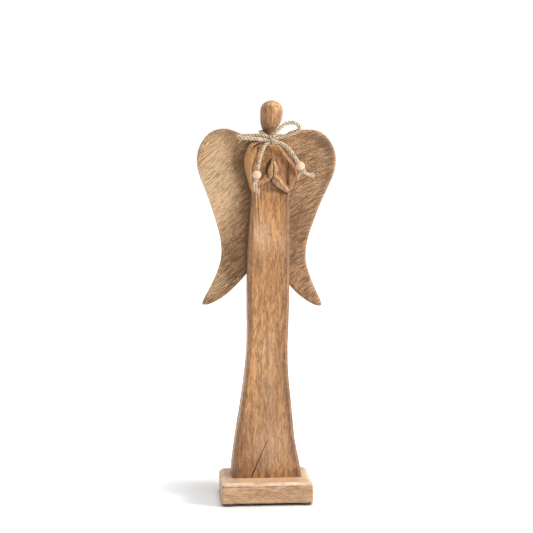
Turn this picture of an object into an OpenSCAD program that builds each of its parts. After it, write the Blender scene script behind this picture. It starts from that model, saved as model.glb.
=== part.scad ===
// Carved wooden angel on a plinth: head, robed body with praying hands, two wings,
// and a twine bow with two beads. Millimetres. Front faces -Y, up is +Z, and the
// origin is on the floor, midway between the outer edges of the wings.

/* [Base] */
// Width of the plinth
base_w = 102; // [90:1:130]
// Depth of the plinth, front to back
base_d = 80; // [80:1:100]
// Thickness of the plinth
base_h = 23; // [16:1:30]
// Width of the bevel round the plinth's top
base_bevel = 4; // [1:0.5:6]
// How far the plinth sits left of the wings' centre line
base_shift = 3.6; // [0:0.1:6]

/* [Feet] */
// Diameter of a felt disc under the plinth
foot_d = 14; // [8:1:20]
// Thickness of a felt disc
foot_t = 3; // [1:0.5:5]
// Distance from the plinth's edges to the centre of a disc
foot_inset = 8; // [7:0.5:14]

/* [Body] */
// Width of the robe where it stands on the plinth
robe_w = 80; // [66:1:90]
// Width of the robe at its narrowest, below the wings
column_w = 45; // [42:1:56]
// Width of the body across the elbows
chest_w = 60; // [56:1:72]
// Height from the plinth to the narrow line under the elbows
column_h = 319; // [266:1:383]
// Height from that line to the neck joint
chest_h = 62; // [56:1:75]
// Depth of the block behind the chest's front face
body_d = 36; // [34:1:44]
// Distance from the origin forward to the robe's front face
body_front = 12; // [10:0.5:14]
// Width of the bevel cut along the front edges
robe_bevel = 3.5; // [1:0.5:6]
// How far the neck stands right of the robe's middle
body_lean = 7.2; // [0:0.1:8]

/* [Head] */
// Height of the head and neck above the neck joint
head_h = 43; // [36:1:52]
// Largest diameter of the head
head_d = 25.2; // [20:0.1:30]
// Diameter of the neck
neck_d = 12.6; // [10:0.1:14]
// Diameter of the dowel in the neck
dowel_d = 6; // [4:0.5:7]
// Length of the dowel
dowel_l = 26; // [16:1:30]

/* [Wings] */
// Distance from the centre line to a wing's outer edge
wing_reach = 78.7; // [66:0.1:95]
// Height of a wing
wing_h = 201.5; // [168:0.5:242]
// Thickness of a wing board
wing_t = 9; // [7:0.5:11]
// Height of a wing's top above the neck joint
wing_rise = 10.4; // [0:0.1:16]
// Radius of the hollow across a wing's front
wing_hollow_r = 200; // [160:5:600]
// How far the deepest line of the hollow lies behind the body
wing_hollow = 1; // [0.5:0.1:2]
// Angle by which the left wing is turned outwards at its tip
left_turn = 3.5; // [0:0.5:5]
// How much higher than the right wing the left wing is fixed
left_lift = 3; // [0:0.5:5]

/* [Screws] */
// Thread diameter of the wing screws
wing_screw_d = 3.5; // [3:0.5:4]
// Length of the wing screws
wing_screw_l = 22; // [16:1:26]
// Distance from the centre line to the wing screws
wing_screw_x = 12; // [9:0.5:15]
// Distance from the tops of the wings down to the upper wing screws
wing_screw_drop = 51.4; // [40:0.2:60]
// Distance between the two screws of one wing
wing_screw_gap = 80; // [50:1:90]
// Thread diameter of the base screws
base_screw_d = 4; // [3.5:0.5:5]
// Length of the base screws
base_screw_l = 45; // [35:1:50]
// Distance between the two base screws
base_screw_gap = 40; // [30:1:50]
// How deep the screw heads lie below the surface
screw_sink = 1; // [0.5:0.1:1.5]

/* [Twine and beads] */
// Diameter of the jute twine
twine_d = 3.8; // [2.4:0.1:4]
// Diameter of a bead
bead_d = 10; // [9:0.5:11]
// Diameter of a bead's hole
bead_hole_d = 4.6; // [4.4:0.1:5]
// Diameter of the bow's knot
bow_knot_d = 8.4; // [7:0.1:10]
// Diameter of a tail's end knot
end_knot_d = 5.8; // [5:0.1:6.5]
// Length of the left tail's frayed end
fray_left_l = 14; // [8:1:16]
// Length of the right tail's frayed end
fray_right_l = 9; // [6:1:12]

/* [Fits] */
// Play all round between a screw and its hole
screw_play = 0.1; // [0.05:0.05:0.2]
// Play all round between the dowel and its holes
dowel_play = 0.1; // [0.05:0.05:0.2]

/* [Hidden] */
$fn = 64;
eps = 0.01;

// Colours
mango = "burlywood";
mango_dark = "peru";
felt = "dimgray";
steel = "silver";
jute = "tan";
pale_wood = "wheat";

// Heights above the floor
base_top = foot_t + base_h;
waist_z = base_top + column_h;
neck_z = waist_z + chest_h;
figure_h = neck_z + head_h;
wing_top = neck_z + wing_rise;

// Places across and front to back
robe_x = -base_shift - 0.6;
neck_x = robe_x + body_lean;
body_back = body_d - body_front;
neck_y = 5.5;
neck_half = neck_d / 2;
robe_mid_y = body_back - body_d / 2 - 1;

// A smooth curve through points, as n short steps between each two
function step(p, i, t) =
    let (
        a = p[max(i - 1, 0)], b = p[i], c = p[i + 1], d = p[min(i + 2, len(p) - 1)]
    )
    0.5 * (2 * b + (c - a) * t + (2 * a - 5 * b + 4 * c - d) * t * t
        + (3 * b - a - 3 * c + d) * t * t * t);
function smooth(p, n) = [
    for (i = [0 : len(p) - 2], k = [0 : n - 1]) step(p, i, k / n),
    p[len(p) - 1]
];

// Solid through a list of rings that all have the same number of points
module loft(rings) {
    m = len(rings[0]);
    n = len(rings);
    polyhedron(
        points = [for (r = rings, p = r) p],
        faces = concat(
            [[for (j = [0 : m - 1]) j]],
            [for (i = [0 : n - 2], j = [0 : m - 1], side = [0, 1])
                let (a = i * m + j, b = i * m + (j + 1) % m)
                side == 0 ? [a, b + m, b] : [a, a + m, b + m]],
            [[for (j = [0 : m - 1]) (n - 1) * m + m - 1 - j]]
        )
    );
}

// Countersunk wood screw, head at the origin, pointing up. Its head is twice the
// thread's diameter, and the thread is drawn as separate rings.
module screw(d, length) {
    head_r = d;
    shank_r = d / 2;
    root_r = 0.7 * shank_r;
    pitch = 0.4 * d;
    shank_l = 0.35 * length;
    tip_l = 1.2 * d;
    turns = floor((length - shank_l - tip_l) / pitch);
    slot_w = 0.2 * d;
    difference() {
        rotate_extrude()
            polygon(concat(
                [[0, 0], [head_r, 0], [shank_r, head_r - shank_r], [shank_r, shank_l]],
                [for (k = [0 : turns - 1], q = [0, 0.35, 0.5, 0.85])
                    [q == 0 || q == 0.85 ? root_r : shank_r, shank_l + (k + 0.1 + q) * pitch]],
                [[root_r, length - tip_l], [0, length]]
            ));
        for (turn = [0, 90]) rotate(turn)
            translate([-0.6 * head_r, -slot_w / 2, -eps])
                cube([1.2 * head_r, slot_w, 0.35 * head_r]);
    }
}

// Hole for that screw, with its countersink open to the outside
module screw_hole(d, length) {
    head_r = d + screw_play;
    shank_r = d / 2 + screw_play;
    cylinder(r = shank_r, h = length + 0.5);
    cylinder(r1 = head_r, r2 = shank_r, h = head_r - shank_r);
    translate([0, 0, -5]) cylinder(r = head_r, h = 5 + eps);
}

module base_screw_place(side) {
    translate([robe_x + side * base_screw_gap / 2, robe_mid_y, foot_t + screw_sink]) children();
}

module wing_screw_place(side, level) {
    z = wing_top - wing_screw_drop - (1 - level) * wing_screw_gap;
    translate([side * wing_screw_x, body_back + wing_t - screw_sink - 1, z])
        rotate([90, 0, 0]) children();
}

module base() {
    bottom = foot_t;
    color(mango)
    translate([-base_shift, 0, 0])
    difference() {
        intersection() {
            rotate([90, 0, 0])
                linear_extrude(base_d, center = true) bevelled(base_w, bottom);
            rotate([90, 0, 90])
                linear_extrude(base_w, center = true) bevelled(base_d, bottom);
        }
        for (side = [-1, 1])
            translate([base_shift, 0, 0]) base_screw_place(side) screw_hole(base_screw_d, base_screw_l);
    }
}

// Section of the plinth, with its two top edges bevelled
module bevelled(width, bottom) {
    half = width / 2;
    polygon([
        [-half, bottom], [half, bottom], [half, base_top - base_bevel],
        [half - base_bevel, base_top], [base_bevel - half, base_top],
        [-half, base_top - base_bevel]
    ]);
}

// Felt disc. across is -1 for left and 1 for right, along is -1 for front and 1 for back.
module foot(across, along) {
    color(felt)
    translate([
        -base_shift + across * (base_w / 2 - foot_inset),
        along * (base_d / 2 - foot_inset),
        0
    ])
        cylinder(d = foot_d, h = foot_t);
}

// Body: one carved block
//
// Each row is a share of its zone's height, the reach to the left and to the right of
// the leaning middle line, and the places of the front and back faces.
robe_half = robe_w / 2;
column_half = column_w / 2;
chest_half = chest_w / 2;
robe_rows = [
    [0.00, robe_half - 1.9, robe_half + 1.5, -body_front - 2, body_back],
    [0.04, robe_half - 2.2, robe_half - 0.3, -body_front - 1.5, body_back],
    [0.14, robe_half - 6, robe_half - 6.8, -body_front - 0.5, body_back],
    [0.25, robe_half - 11.3, robe_half - 11, -body_front, body_back],
    [0.37, column_half + 2.2, column_half + 1.8, -body_front, body_back],
    [0.48, column_half, column_half + 0.5, -body_front, body_back],
    [0.66, column_half + 1.5, column_half + 0.6, -body_front, body_back],
    [0.80, column_half + 1.3, column_half - 0.4, -body_front, body_back],
    [0.91, column_half + 0.2, column_half - 1.2, -body_front + 0.5, body_back],
    [1.00, column_half - 1.3, column_half - 2.3, -body_front + 1, body_back]
];
chest_rows = [
    [0.13, chest_half - 6.1, chest_half - 5.4, -body_front + 1, body_back],
    [0.30, chest_half - 3.2, chest_half - 1.1, -body_front + 0.5, body_back],
    [0.42, chest_half - 1.1, chest_half, -body_front, body_back],
    [0.56, chest_half, chest_half - 3.4, -body_front, body_back],
    [0.70, chest_half - 0.6, chest_half - 10.4, -body_front + 1, body_back],
    [0.84, chest_half - 3.9, chest_half - 16.7, -body_front + 4, body_back - 3],
    [0.92, chest_half - 7.5, chest_half - 22, -body_front + 7, body_back - 6],
    [0.96, neck_half + 4, neck_half + 0.6, neck_y - neck_half - 0.8, neck_y + neck_half + 2],
    [1.00, neck_half, neck_half, neck_y - neck_half, neck_y + neck_half]
];
function place_row(row, low, high) = [low + row[0] * (high - low), row[1], row[2], row[3], row[4]];
body_rows = concat(
    [for (row = robe_rows) place_row(row, base_top, waist_z)],
    [for (row = chest_rows) place_row(row, waist_z, neck_z)]
);
function lean_x(z) = robe_x + body_lean * pow(min(1, max(0, z - base_top) / column_h), 1.2);
function body_ring(row) =
    let (
        z = row[0],
        left = lean_x(z) - row[1],
        right = lean_x(z) + row[2],
        front = row[3],
        back = min(row[4], body_back),
        cut = min(robe_bevel, (right - left) / 3.5)
    )
    [
        [left, back, z], [left, front + cut, z], [left + cut, front, z],
        [right - cut, front, z], [right, front + cut, z], [right, back, z]
    ];

// One arm, from the shoulder to the elbow and up to the praying hands.
// side is -1 for the left arm and 1 for the right arm.
module arm(side) {
    middle_x = neck_x + 0.8;
    elbow_reach = chest_half - 13;
    shoulder = [middle_x + side * (elbow_reach - 3), -body_front + 6, waist_z + 0.62 * chest_h];
    elbow = [middle_x + side * elbow_reach, -body_front + 4, waist_z + 9];
    wrist = [middle_x + side * 4.6, -body_front - 1, waist_z + 21];
    fingertip = [middle_x + side * 1.4, -body_front - 1.4, waist_z + 41];
    hull() {
        translate(shoulder) sphere(r = 5, $fn = 20);
        translate(elbow) sphere(r = 6, $fn = 20);
    }
    hull() {
        translate(elbow) sphere(r = 6, $fn = 20);
        translate(wrist) sphere(r = 4.2, $fn = 20);
    }
    hull() {
        translate(wrist) sphere(r = 4.2, $fn = 20);
        translate(fingertip) sphere(r = 1.6, $fn = 20);
    }
}

module body() {
    color(mango)
    difference() {
        union() {
            loft([for (row = smooth(body_rows, 3)) body_ring(row)]);
            for (side = [-1, 1]) arm(side);
        }
        translate([neck_x, neck_y, neck_z - dowel_l / 2 - 0.5])
            cylinder(d = dowel_d + 2 * dowel_play, h = dowel_l);
        for (side = [-1, 1]) {
            base_screw_place(side) screw_hole(base_screw_d, base_screw_l);
            for (level = [0, 1])
                wing_screw_place(side, level) screw_hole(wing_screw_d, wing_screw_l);
        }
    }
}

// Head: a turned egg on a slim neck. The profile is drawn for a head 43 high.
module head() {
    r = head_d / 2;
    profile = smooth([
        [neck_half, 0], [neck_half - 0.2, 3], [neck_half + 1.2, 8], [r * 0.84, 13],
        [r * 0.97, 19], [r, 25], [r * 0.97, 31], [r * 0.82, 37], [r * 0.5, 41.3]
    ], 4);
    stretch = head_h / 43;
    color(mango_dark)
    difference() {
        translate([neck_x, neck_y, neck_z])
            rotate_extrude()
                polygon(concat([[0, 0]], [for (p = profile) [p[0], p[1] * stretch]], [[0, head_h]]));
        translate([neck_x, neck_y, neck_z - eps])
            cylinder(d = dowel_d + 2 * dowel_play, h = dowel_l / 2 + 0.5);
    }
}

module neck_dowel() {
    r = dowel_d / 2;
    chamfer = 0.8;
    color(pale_wood)
    translate([neck_x, neck_y, neck_z - dowel_l / 2])
        rotate_extrude()
            polygon([
                [0, 0], [r - chamfer, 0], [r, chamfer], [r, dowel_l - chamfer],
                [r - chamfer, dowel_l], [0, dowel_l]
            ]);
}

// Wings: sawn boards, hollowed across the front, with a flat seat against the body.
//
// Outline of the right wing, on a wing 79 wide and 202 high: the distance from the
// centre line, and the distance below the top.
wing_edge = [
    [1, 27], [10, 17], [21, 9.5], [34, 3.5], [50, 0], [65, 5], [75.5, 18.5], [79, 35],
    [75.8, 52], [66, 74], [55.5, 100], [47.5, 124], [45, 144], [48, 161], [55, 179.5],
    [63.5, 198.5], [61, 202]
];
wing_blade = [[61, 202], [55.5, 200.8], [45, 195], [33, 185], [20, 170], [8, 155], [1, 149]];
wing_widest = 35;
wing_axis_x = 40;
module wing_board() {
    outline = concat(smooth(wing_edge, 4), smooth(wing_blade, 4));
    fit = [wing_reach / 79, wing_h / 202];
    hollow_y = body_back + wing_hollow - wing_hollow_r;
    foot_z = wing_top - wing_h - 10;
    intersection() {
        rotate([90, 0, 0])
            translate([0, 0, -body_back - 2 * wing_t])
                linear_extrude(4 * wing_t)
                    polygon([for (p = outline) [p[0] * fit[0], wing_top - p[1] * fit[1]]]);
        translate([wing_axis_x, hollow_y, foot_z])
            difference() {
                cylinder(r = wing_hollow_r + wing_t, h = wing_h + 20, $fn = 128);
                translate([0, 0, -1]) cylinder(r = wing_hollow_r, h = wing_h + 22, $fn = 128);
            }
    }
}

// Cuts the flat seat and the screw holes that a wing on one side needs
module seated(side) {
    difference() {
        children();
        translate([side < 0 ? -30 : 0, body_back - wing_t, 0])
            cube([30, wing_t, figure_h]);
        for (level = [0, 1])
            wing_screw_place(side, level) screw_hole(wing_screw_d, wing_screw_l);
    }
}

module wing_right() {
    color(mango)
    seated(1) wing_board();
}

module wing_left() {
    pivot_z = wing_top - wing_widest;
    color(mango)
    seated(-1)
        translate([-wing_reach, 0, pivot_z + left_lift])
            rotate([0, left_turn, 0])
                translate([wing_reach, 0, -pivot_z])
                    mirror([1, 0, 0]) wing_board();
}

// Twine: a tube of eight sides through a route's points. across is a direction that
// the route never follows.
module twine(route, across) {
    color(jute)
    at_neck() loft([
        for (i = [0 : len(route) - 1])
            let (
                ahead = route[min(i + 1, len(route) - 1)] - route[max(i - 1, 0)],
                u = cross(across, ahead) / norm(cross(across, ahead)),
                v = cross(ahead, u) / norm(ahead)
            )
            [for (j = [0 : 7]) route[i] + twine_d / 2 * (cos(45 * j) * u - sin(45 * j) * v)]
    ]);
}

// The bow's knot, and the routes that leave it, measured from the neck joint and the
// model's middle plane. Both halves start at the nape.
module at_neck() {
    translate([neck_x, 0, neck_z]) children();
}
bow_knot_at = [-1, -9.8, -1.5];
neck_route_left = [
    [0, 15.5, 5.5], [-5, 14.5, 7], [-9, 11, 8], [-11, 5.5, 8],
    [-10.5, 0, 7], [-7.5, -5, 5], [-2.5, -8.5, 1.5]
];
neck_route_right = [
    [0, 15.5, 5.5], [5, 14.5, 4.5], [9, 11, 4], [10.5, 5.5, 4],
    [9.5, 0, 4], [6, -5, 3.5], [1, -8.5, 1.5]
];
loop_route_left = [
    [-3, -10.5, 1.4], [-10, -10, 4], [-17, -9, 4.8], [-24, -8.5, 4.6], [-31, -9, 4.2], [-36, -12, 3.4],
    [-37, -16, 2.4], [-33, -18.5, 1.7], [-26, -18, 1], [-19, -17, 0.4], [-12, -15, -0.4], [-4, -12, -1.5]
];
loop_route_right = [
    [1, -10, 2], [6, -10, 9], [11.5, -10, 14.5], [18, -9.5, 17.8], [25, -9, 18.2],
    [30, -8, 15.3], [31, -7, 11.5], [27, -6.5, 8], [20, -7, 5], [12, -8, 3.2], [3, -10, 0.5]
];
tail_route_left = [
    [-3, -12, -3], [-7.5, -14.5, -6], [-10.5, -16.2, -12], [-13, -17.5, -18],
    [-14.6, -18.2, -25], [-15.8, -18.4, -32], [-16.8, -18.7, -38], [-18, -18.9, -45]
];
tail_route_right = [
    [2, -11, -2.5], [8, -11.2, -3.2], [14, -11.4, -6.2], [19, -12.2, -10.7],
    [24, -13.2, -17.2], [28, -13.5, -23.6], [32, -13.8, -30], [35, -14, -34.8]
];

// Ends of the straight stretch that each bead slides on: the end knot, and the point
// above it that the twine comes from. The rim of a bead's hole rests on the knot.
left_knot_at = [-18, -18.9, -45];
left_knot_from = [-14.6, -18.2, -25];
right_knot_at = [35, -14, -34.8];
right_knot_from = [24, -13.2, -17.2];
left_fray_to = [-16.5, -18, -62];
right_fray_to = [40, -14, -41];
bead_hole_r = bead_hole_d / 2;
bead_gap = 0.1;
bead_lift = sqrt(pow(bead_d / 2, 2) - pow(bead_hole_r, 2))
    + sqrt(pow(end_knot_d / 2, 2) - pow(bead_hole_r, 2)) + bead_gap;

// Turns what is drawn along +Z to point from one place to another
module aim(from, to) {
    way = to - from;
    translate(from)
        rotate([0, acos(way[2] / norm(way)), atan2(way[1], way[0])]) children();
}

module bow_knot() {
    color(jute) at_neck() translate(bow_knot_at) sphere(d = bow_knot_d);
}

module end_knot(place) {
    color(jute) at_neck() translate(place) sphere(d = end_knot_d);
}

// Frayed strands below an end knot, as one tapered bundle
module frayed_end(place, towards, length) {
    color(jute)
    at_neck() aim(place, towards)
        translate([0, 0, end_knot_d / 2 - 0.6])
            cylinder(d1 = twine_d, d2 = 1.8 * twine_d, h = length);
}

module bead(place, from) {
    color(pale_wood)
    at_neck() aim(place, from)
        translate([0, 0, bead_lift])
            difference() {
                sphere(d = bead_d);
                translate([0, 0, -bead_d / 2 - 1]) cylinder(d = bead_hole_d, h = bead_d + 2);
            }
}

module base_screw(side) {
    color(steel) base_screw_place(side) screw(base_screw_d, base_screw_l);
}

module wing_screw(side, level) {
    color(steel) wing_screw_place(side, level) screw(wing_screw_d, wing_screw_l);
}

base();
foot(-1, -1);  // foot_front_left
foot(1, -1);  // foot_front_right
foot(-1, 1);  // foot_back_left
foot(1, 1);  // foot_back_right
body();
head();
neck_dowel();
wing_left();
wing_right();
base_screw(-1);  // base_screw_left
base_screw(1);  // base_screw_right
wing_screw(-1, 0);  // wing_screw_left_lower
wing_screw(-1, 1);  // wing_screw_left_upper
wing_screw(1, 0);  // wing_screw_right_lower
wing_screw(1, 1);  // wing_screw_right_upper
twine(neck_route_left, [0, 0, 1]);  // neck_twine_left
twine(neck_route_right, [0, 0, 1]);  // neck_twine_right
bow_knot();
twine(loop_route_left, [0, 0, 1]);  // bow_loop_left
twine(loop_route_right, [0, 1, 0]);  // bow_loop_right
twine(tail_route_left, [0, 1, 0]);  // tail_left
twine(tail_route_right, [0, 1, 0]);  // tail_right
end_knot(left_knot_at);  // end_knot_left
end_knot(right_knot_at);  // end_knot_right
frayed_end(left_knot_at, left_fray_to, fray_left_l);  // frayed_end_left
frayed_end(right_knot_at, right_fray_to, fray_right_l);  // frayed_end_right
bead(left_knot_at, left_knot_from);  // bead_left
bead(right_knot_at, right_knot_from);  // bead_right
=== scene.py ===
import math

import bpy
import numpy as np
from mathutils import Matrix, Vector
from mathutils.bvhtree import BVHTree


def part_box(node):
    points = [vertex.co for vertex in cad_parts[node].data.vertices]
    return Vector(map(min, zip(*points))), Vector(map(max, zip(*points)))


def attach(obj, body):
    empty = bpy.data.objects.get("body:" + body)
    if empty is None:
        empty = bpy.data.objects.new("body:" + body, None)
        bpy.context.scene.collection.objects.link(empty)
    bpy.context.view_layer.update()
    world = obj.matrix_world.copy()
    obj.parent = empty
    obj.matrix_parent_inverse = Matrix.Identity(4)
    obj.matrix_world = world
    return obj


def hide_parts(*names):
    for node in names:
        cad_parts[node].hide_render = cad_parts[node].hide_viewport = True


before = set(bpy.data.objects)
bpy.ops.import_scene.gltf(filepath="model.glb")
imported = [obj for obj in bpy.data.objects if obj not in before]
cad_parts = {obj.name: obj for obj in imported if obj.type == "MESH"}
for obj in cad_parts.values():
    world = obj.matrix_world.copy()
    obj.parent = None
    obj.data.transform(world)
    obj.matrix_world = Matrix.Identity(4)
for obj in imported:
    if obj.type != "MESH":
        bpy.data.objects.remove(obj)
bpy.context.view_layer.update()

# ---------------------------------------------------------------------------
# Studio: a white floor that glows more away from the figure, painted light, two soft
# boxes in front and above, and the camera a little left of the figure and level with its head.
# ---------------------------------------------------------------------------
MM = 0.001
scene = bpy.context.scene
scene.view_settings.view_transform = "Standard"

plinth_low, plinth_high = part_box("base")
plinth_x = (plinth_low[0] + plinth_high[0]) / 2
crown_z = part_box("head")[1][2]

CAMERA_TURN = math.radians(-4.07)
CAMERA_DISTANCE = 1.65
CAMERA_HEIGHT = 0.4356
CAMERA_LENS = 99.8
aim = Vector((plinth_x + 0.0016, 0, crown_z * 0.588))

camera_data = bpy.data.cameras.new("camera")
camera_data.lens = CAMERA_LENS
camera_data.sensor_width = 36
camera = bpy.data.objects.new("camera", camera_data)
camera.location = (
    plinth_x + math.sin(CAMERA_TURN) * CAMERA_DISTANCE,
    -math.cos(CAMERA_TURN) * CAMERA_DISTANCE,
    CAMERA_HEIGHT,
)
camera.rotation_euler = (aim - camera.location).to_track_quat("-Z", "Y").to_euler()
scene.collection.objects.link(camera)
scene.camera = camera


def soft_box(name, place, target, size, watts):
    light = bpy.data.lights.new(name, "AREA")
    light.size = size
    light.energy = watts
    box = bpy.data.objects.new(name, light)
    box.location = place
    box.rotation_euler = (Vector(target) - Vector(place)).to_track_quat("-Z", "Y").to_euler()
    scene.collection.objects.link(box)


MIDDLE = (0, 0, crown_z / 2)
soft_box("key_right", (1.9, -0.95, 1.1), MIDDLE, 0.5, 50)
soft_box("fill_left", (-1.6, -1.3, 0.8), MIDDLE, 0.8, 5)
soft_box("top", (0.15, -0.25, 2.0), MIDDLE, 0.7, 26)

world = bpy.data.worlds.new("studio")
scene.world = world
world.use_nodes = True
sky = world.node_tree
sky.nodes.clear()
sky_out = sky.nodes.new("ShaderNodeOutputWorld")
seen = sky.nodes.new("ShaderNodeBackground")
seen.inputs["Strength"].default_value = 1.0
lit = sky.nodes.new("ShaderNodeBackground")
BACKDROP_LIGHT = 0.95
FRONT_LIGHT = 0.16
heading = sky.nodes.new("ShaderNodeSeparateXYZ")
sky.links.new(sky.nodes.new("ShaderNodeTexCoord").outputs["Generated"], heading.inputs[0])
behind = sky.nodes.new("ShaderNodeMapRange")
behind.interpolation_type = "SMOOTHSTEP"
behind.inputs["From Min"].default_value = -0.35
behind.inputs["From Max"].default_value = 0.35
behind.inputs["To Min"].default_value = FRONT_LIGHT
behind.inputs["To Max"].default_value = BACKDROP_LIGHT
sky.links.new(heading.outputs["Y"], behind.inputs["Value"])
sky.links.new(behind.outputs["Result"], lit.inputs["Strength"])
rays = sky.nodes.new("ShaderNodeLightPath")
either = sky.nodes.new("ShaderNodeMixShader")
sky.links.new(rays.outputs["Is Camera Ray"], either.inputs["Fac"])
sky.links.new(lit.outputs["Background"], either.inputs[1])
sky.links.new(seen.outputs["Background"], either.inputs[2])
sky.links.new(either.outputs["Shader"], sky_out.inputs["Surface"])
for backdrop in (seen, lit):
    backdrop.inputs["Color"].default_value = (1, 1, 1, 1)

floor_mesh = bpy.data.meshes.new("floor")
FLOOR_HALF = 6
floor_mesh.from_pydata(
    [(-FLOOR_HALF, -FLOOR_HALF, 0), (FLOOR_HALF, -FLOOR_HALF, 0),
     (FLOOR_HALF, FLOOR_HALF, 0), (-FLOOR_HALF, FLOOR_HALF, 0)],
    [], [(0, 1, 2, 3)],
)
floor = bpy.data.objects.new("floor", floor_mesh)
scene.collection.objects.link(floor)
floor_paint = bpy.data.materials.new("white_floor_painted_glow")
floor_paint.use_nodes = True
floor_shader = floor_paint.node_tree.nodes["Principled BSDF"]
floor_shader.inputs["Base Color"].default_value = (0.7, 0.7, 0.7, 1)
floor_shader.inputs["Roughness"].default_value = 0.9
floor_shader.inputs["Specular IOR Level"].default_value = 0.1
floor_shader.inputs["Emission Color"].default_value = (1, 1, 1, 1)
floor_tree = floor_paint.node_tree
floor_place = floor_tree.nodes.new("ShaderNodeTexCoord")
floor_far = floor_tree.nodes.new("ShaderNodeVectorMath")
floor_far.operation = "LENGTH"
# Painted light: the floor glows, more the further it lies from the figure, so it is white away from it while
# shadows show near the plinth.
floor_glow = floor_tree.nodes.new("ShaderNodeMapRange")
floor_glow.interpolation_type = "SMOOTHSTEP"
floor_glow.inputs["From Min"].default_value = 0.07
floor_glow.inputs["From Max"].default_value = 0.25
floor_glow.inputs["To Min"].default_value = 0.0
floor_glow.inputs["To Max"].default_value = 0.7
floor_tree.links.new(floor_place.outputs["Object"], floor_far.inputs[0])
floor_tree.links.new(floor_far.outputs["Value"], floor_glow.inputs["Value"])
floor_tree.links.new(floor_glow.outputs["Result"], floor_shader.inputs["Emission Strength"])
floor_mesh.materials.append(floor_paint)

# ---------------------------------------------------------------------------
# Twine: one length of three-strand jute, knotted round the neck and tied in a
# bow. Each half runs from the nape round the neck, through the bow's knot and
# its loop, and down its tail to an end knot, below which the strands are frayed.
# ---------------------------------------------------------------------------
TWINE_R = 2.05
neck_low, neck_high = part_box("neck_dowel")
NECK = np.array([(neck_low[0] + neck_high[0]) / 2, 0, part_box("head")[0][2]]) / MM

NECK_ROUTE_LEFT = [
    (0, 15.5, 5.5), (-5, 14.5, 7), (-9, 11, 8), (-11, 5.5, 8),
    (-10.5, 0, 7), (-7.5, -5, 5), (-2.5, -8.5, 1.5),
]
NECK_ROUTE_RIGHT = [
    (0, 15.5, 5.5), (5, 14.5, 4.5), (9, 11, 4), (10.5, 5.5, 4),
    (9.5, 0, 4), (6, -5, 3.5), (1, -8.5, 1.5),
]
LOOP_ROUTE_LEFT = [
    (-3, -10.5, 1.4), (-10, -10, 3.8), (-17, -9, 4.5), (-24, -8.5, 4.3), (-31, -9, 4), (-36, -12, 3.4),
    (-37, -16, 2.4), (-33, -18.5, 1.8), (-26, -18, 1.2), (-19, -17, 0.8), (-12, -15, 0.1), (-4, -12, -1.2),
]
LOOP_ROUTE_RIGHT = [
    (1, -10, 2), (6, -10, 9), (11.5, -10, 14.5), (18, -9.5, 17.8), (25, -9, 18.2),
    (30, -8, 15.3), (31, -7, 11.5), (27, -6.5, 8), (20, -7, 5), (12, -8, 3.2), (3, -10, 0.5),
]
TAIL_ROUTE_LEFT = [
    (-3, -12, -3), (-7.5, -14.5, -6), (-10.5, -16.2, -12), (-13, -17.5, -18),
    (-14.6, -18.2, -25), (-15.8, -18.4, -32), (-16.8, -18.7, -38), (-18, -18.9, -45),
]
TAIL_ROUTE_RIGHT = [
    (2, -11, -2.5), (8, -11.2, -3.2), (14, -11.4, -6.2), (19, -12.2, -10.7),
    (24, -13.2, -17.2), (28, -13.5, -23.6), (32, -13.8, -30), (35, -14, -34.8),
]
BOW_KNOT_AT = np.array((-1, -9.8, -1.5))


def smooth_line(points, steps):
    """A smooth curve through the points, with that many steps between each two."""
    p = np.array(points, float)
    ends = np.vstack([2 * p[0] - p[1], p, 2 * p[-1] - p[-2]])
    t = np.linspace(0, 1, steps, endpoint=False)[:, None]
    runs = [
        0.5 * (2 * b + (c - a) * t + (2 * a - 5 * b + 4 * c - d) * t**2
               + (3 * b - a - 3 * c + d) * t**3)
        for a, b, c, d in zip(ends, ends[1:], ends[2:], ends[3:])
    ]
    return np.vstack(runs + [p[-1:]])


def even_line(points, spacing):
    """The same smooth curve, with its points a fixed distance apart."""
    fine = smooth_line(points, 24)
    gone = np.concatenate([[0], np.cumsum(np.linalg.norm(np.diff(fine, axis=0), axis=1))])
    count = max(2, int(gone[-1] / spacing) + 1)
    at = np.linspace(0, gone[-1], count)
    return np.stack([np.interp(at, gone, fine[:, k]) for k in range(3)], axis=1)


def unit(v):
    return v / np.maximum(np.linalg.norm(v, axis=-1, keepdims=True), 1e-9)


def frames_along(line):
    """Two directions across the line at each point, carried along without twist."""
    ahead = unit(np.gradient(line, axis=0))
    first = np.cross(ahead[0], (0.3, 0.2, 0.93))
    across = [first / np.linalg.norm(first)]
    for way in ahead[1:]:
        side = across[-1] - way * np.dot(across[-1], way)
        across.append(side / np.linalg.norm(side))
    across = np.array(across)
    return across, np.cross(ahead, across)


def join_parts(parts):
    """Joins (points, faces, marks) parts into one."""
    shift, points, faces, marks = 0, [], [], []
    for part_points, part_faces, part_marks in parts:
        points.append(part_points)
        faces += [tuple(i + shift for i in face) for face in part_faces]
        marks.append(part_marks)
        shift += len(part_points)
    return np.vstack(points), faces, np.vstack(marks)


def tube(line, radii, sides, mark=0.0):
    """A closed tube along a line. Its marks say how far round, how far along and which strand."""
    radii = np.broadcast_to(radii, len(line))
    across, up = frames_along(line)
    turn = np.linspace(0, 2 * math.pi, sides, endpoint=False)
    ring = across[:, None] * np.cos(turn)[None, :, None] + up[:, None] * np.sin(turn)[None, :, None]
    points = (line[:, None] + ring * radii[:, None, None]).reshape(-1, 3)
    faces = ring_faces(len(line), sides)
    faces.append(tuple(range(sides))[::-1])
    faces.append(tuple((len(line) - 1) * sides + k for k in range(sides)))
    along = np.concatenate([[0], np.cumsum(np.linalg.norm(np.diff(line, axis=0), axis=1))])
    marks = np.stack([
        np.tile(turn, len(line)), np.repeat(along, sides), np.full(len(points), mark),
        np.zeros(len(points)),
    ], axis=1)
    return points, faces, marks


def ring_faces(rings, count):
    """Quads between rings that each have the same number of points."""
    k = np.arange(count)
    after = (k + 1) % count
    return [
        (int(r * count + a), int(r * count + b), int((r + 1) * count + b), int((r + 1) * count + a))
        for r in range(rings - 1) for a, b in zip(k, after)
    ]


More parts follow.
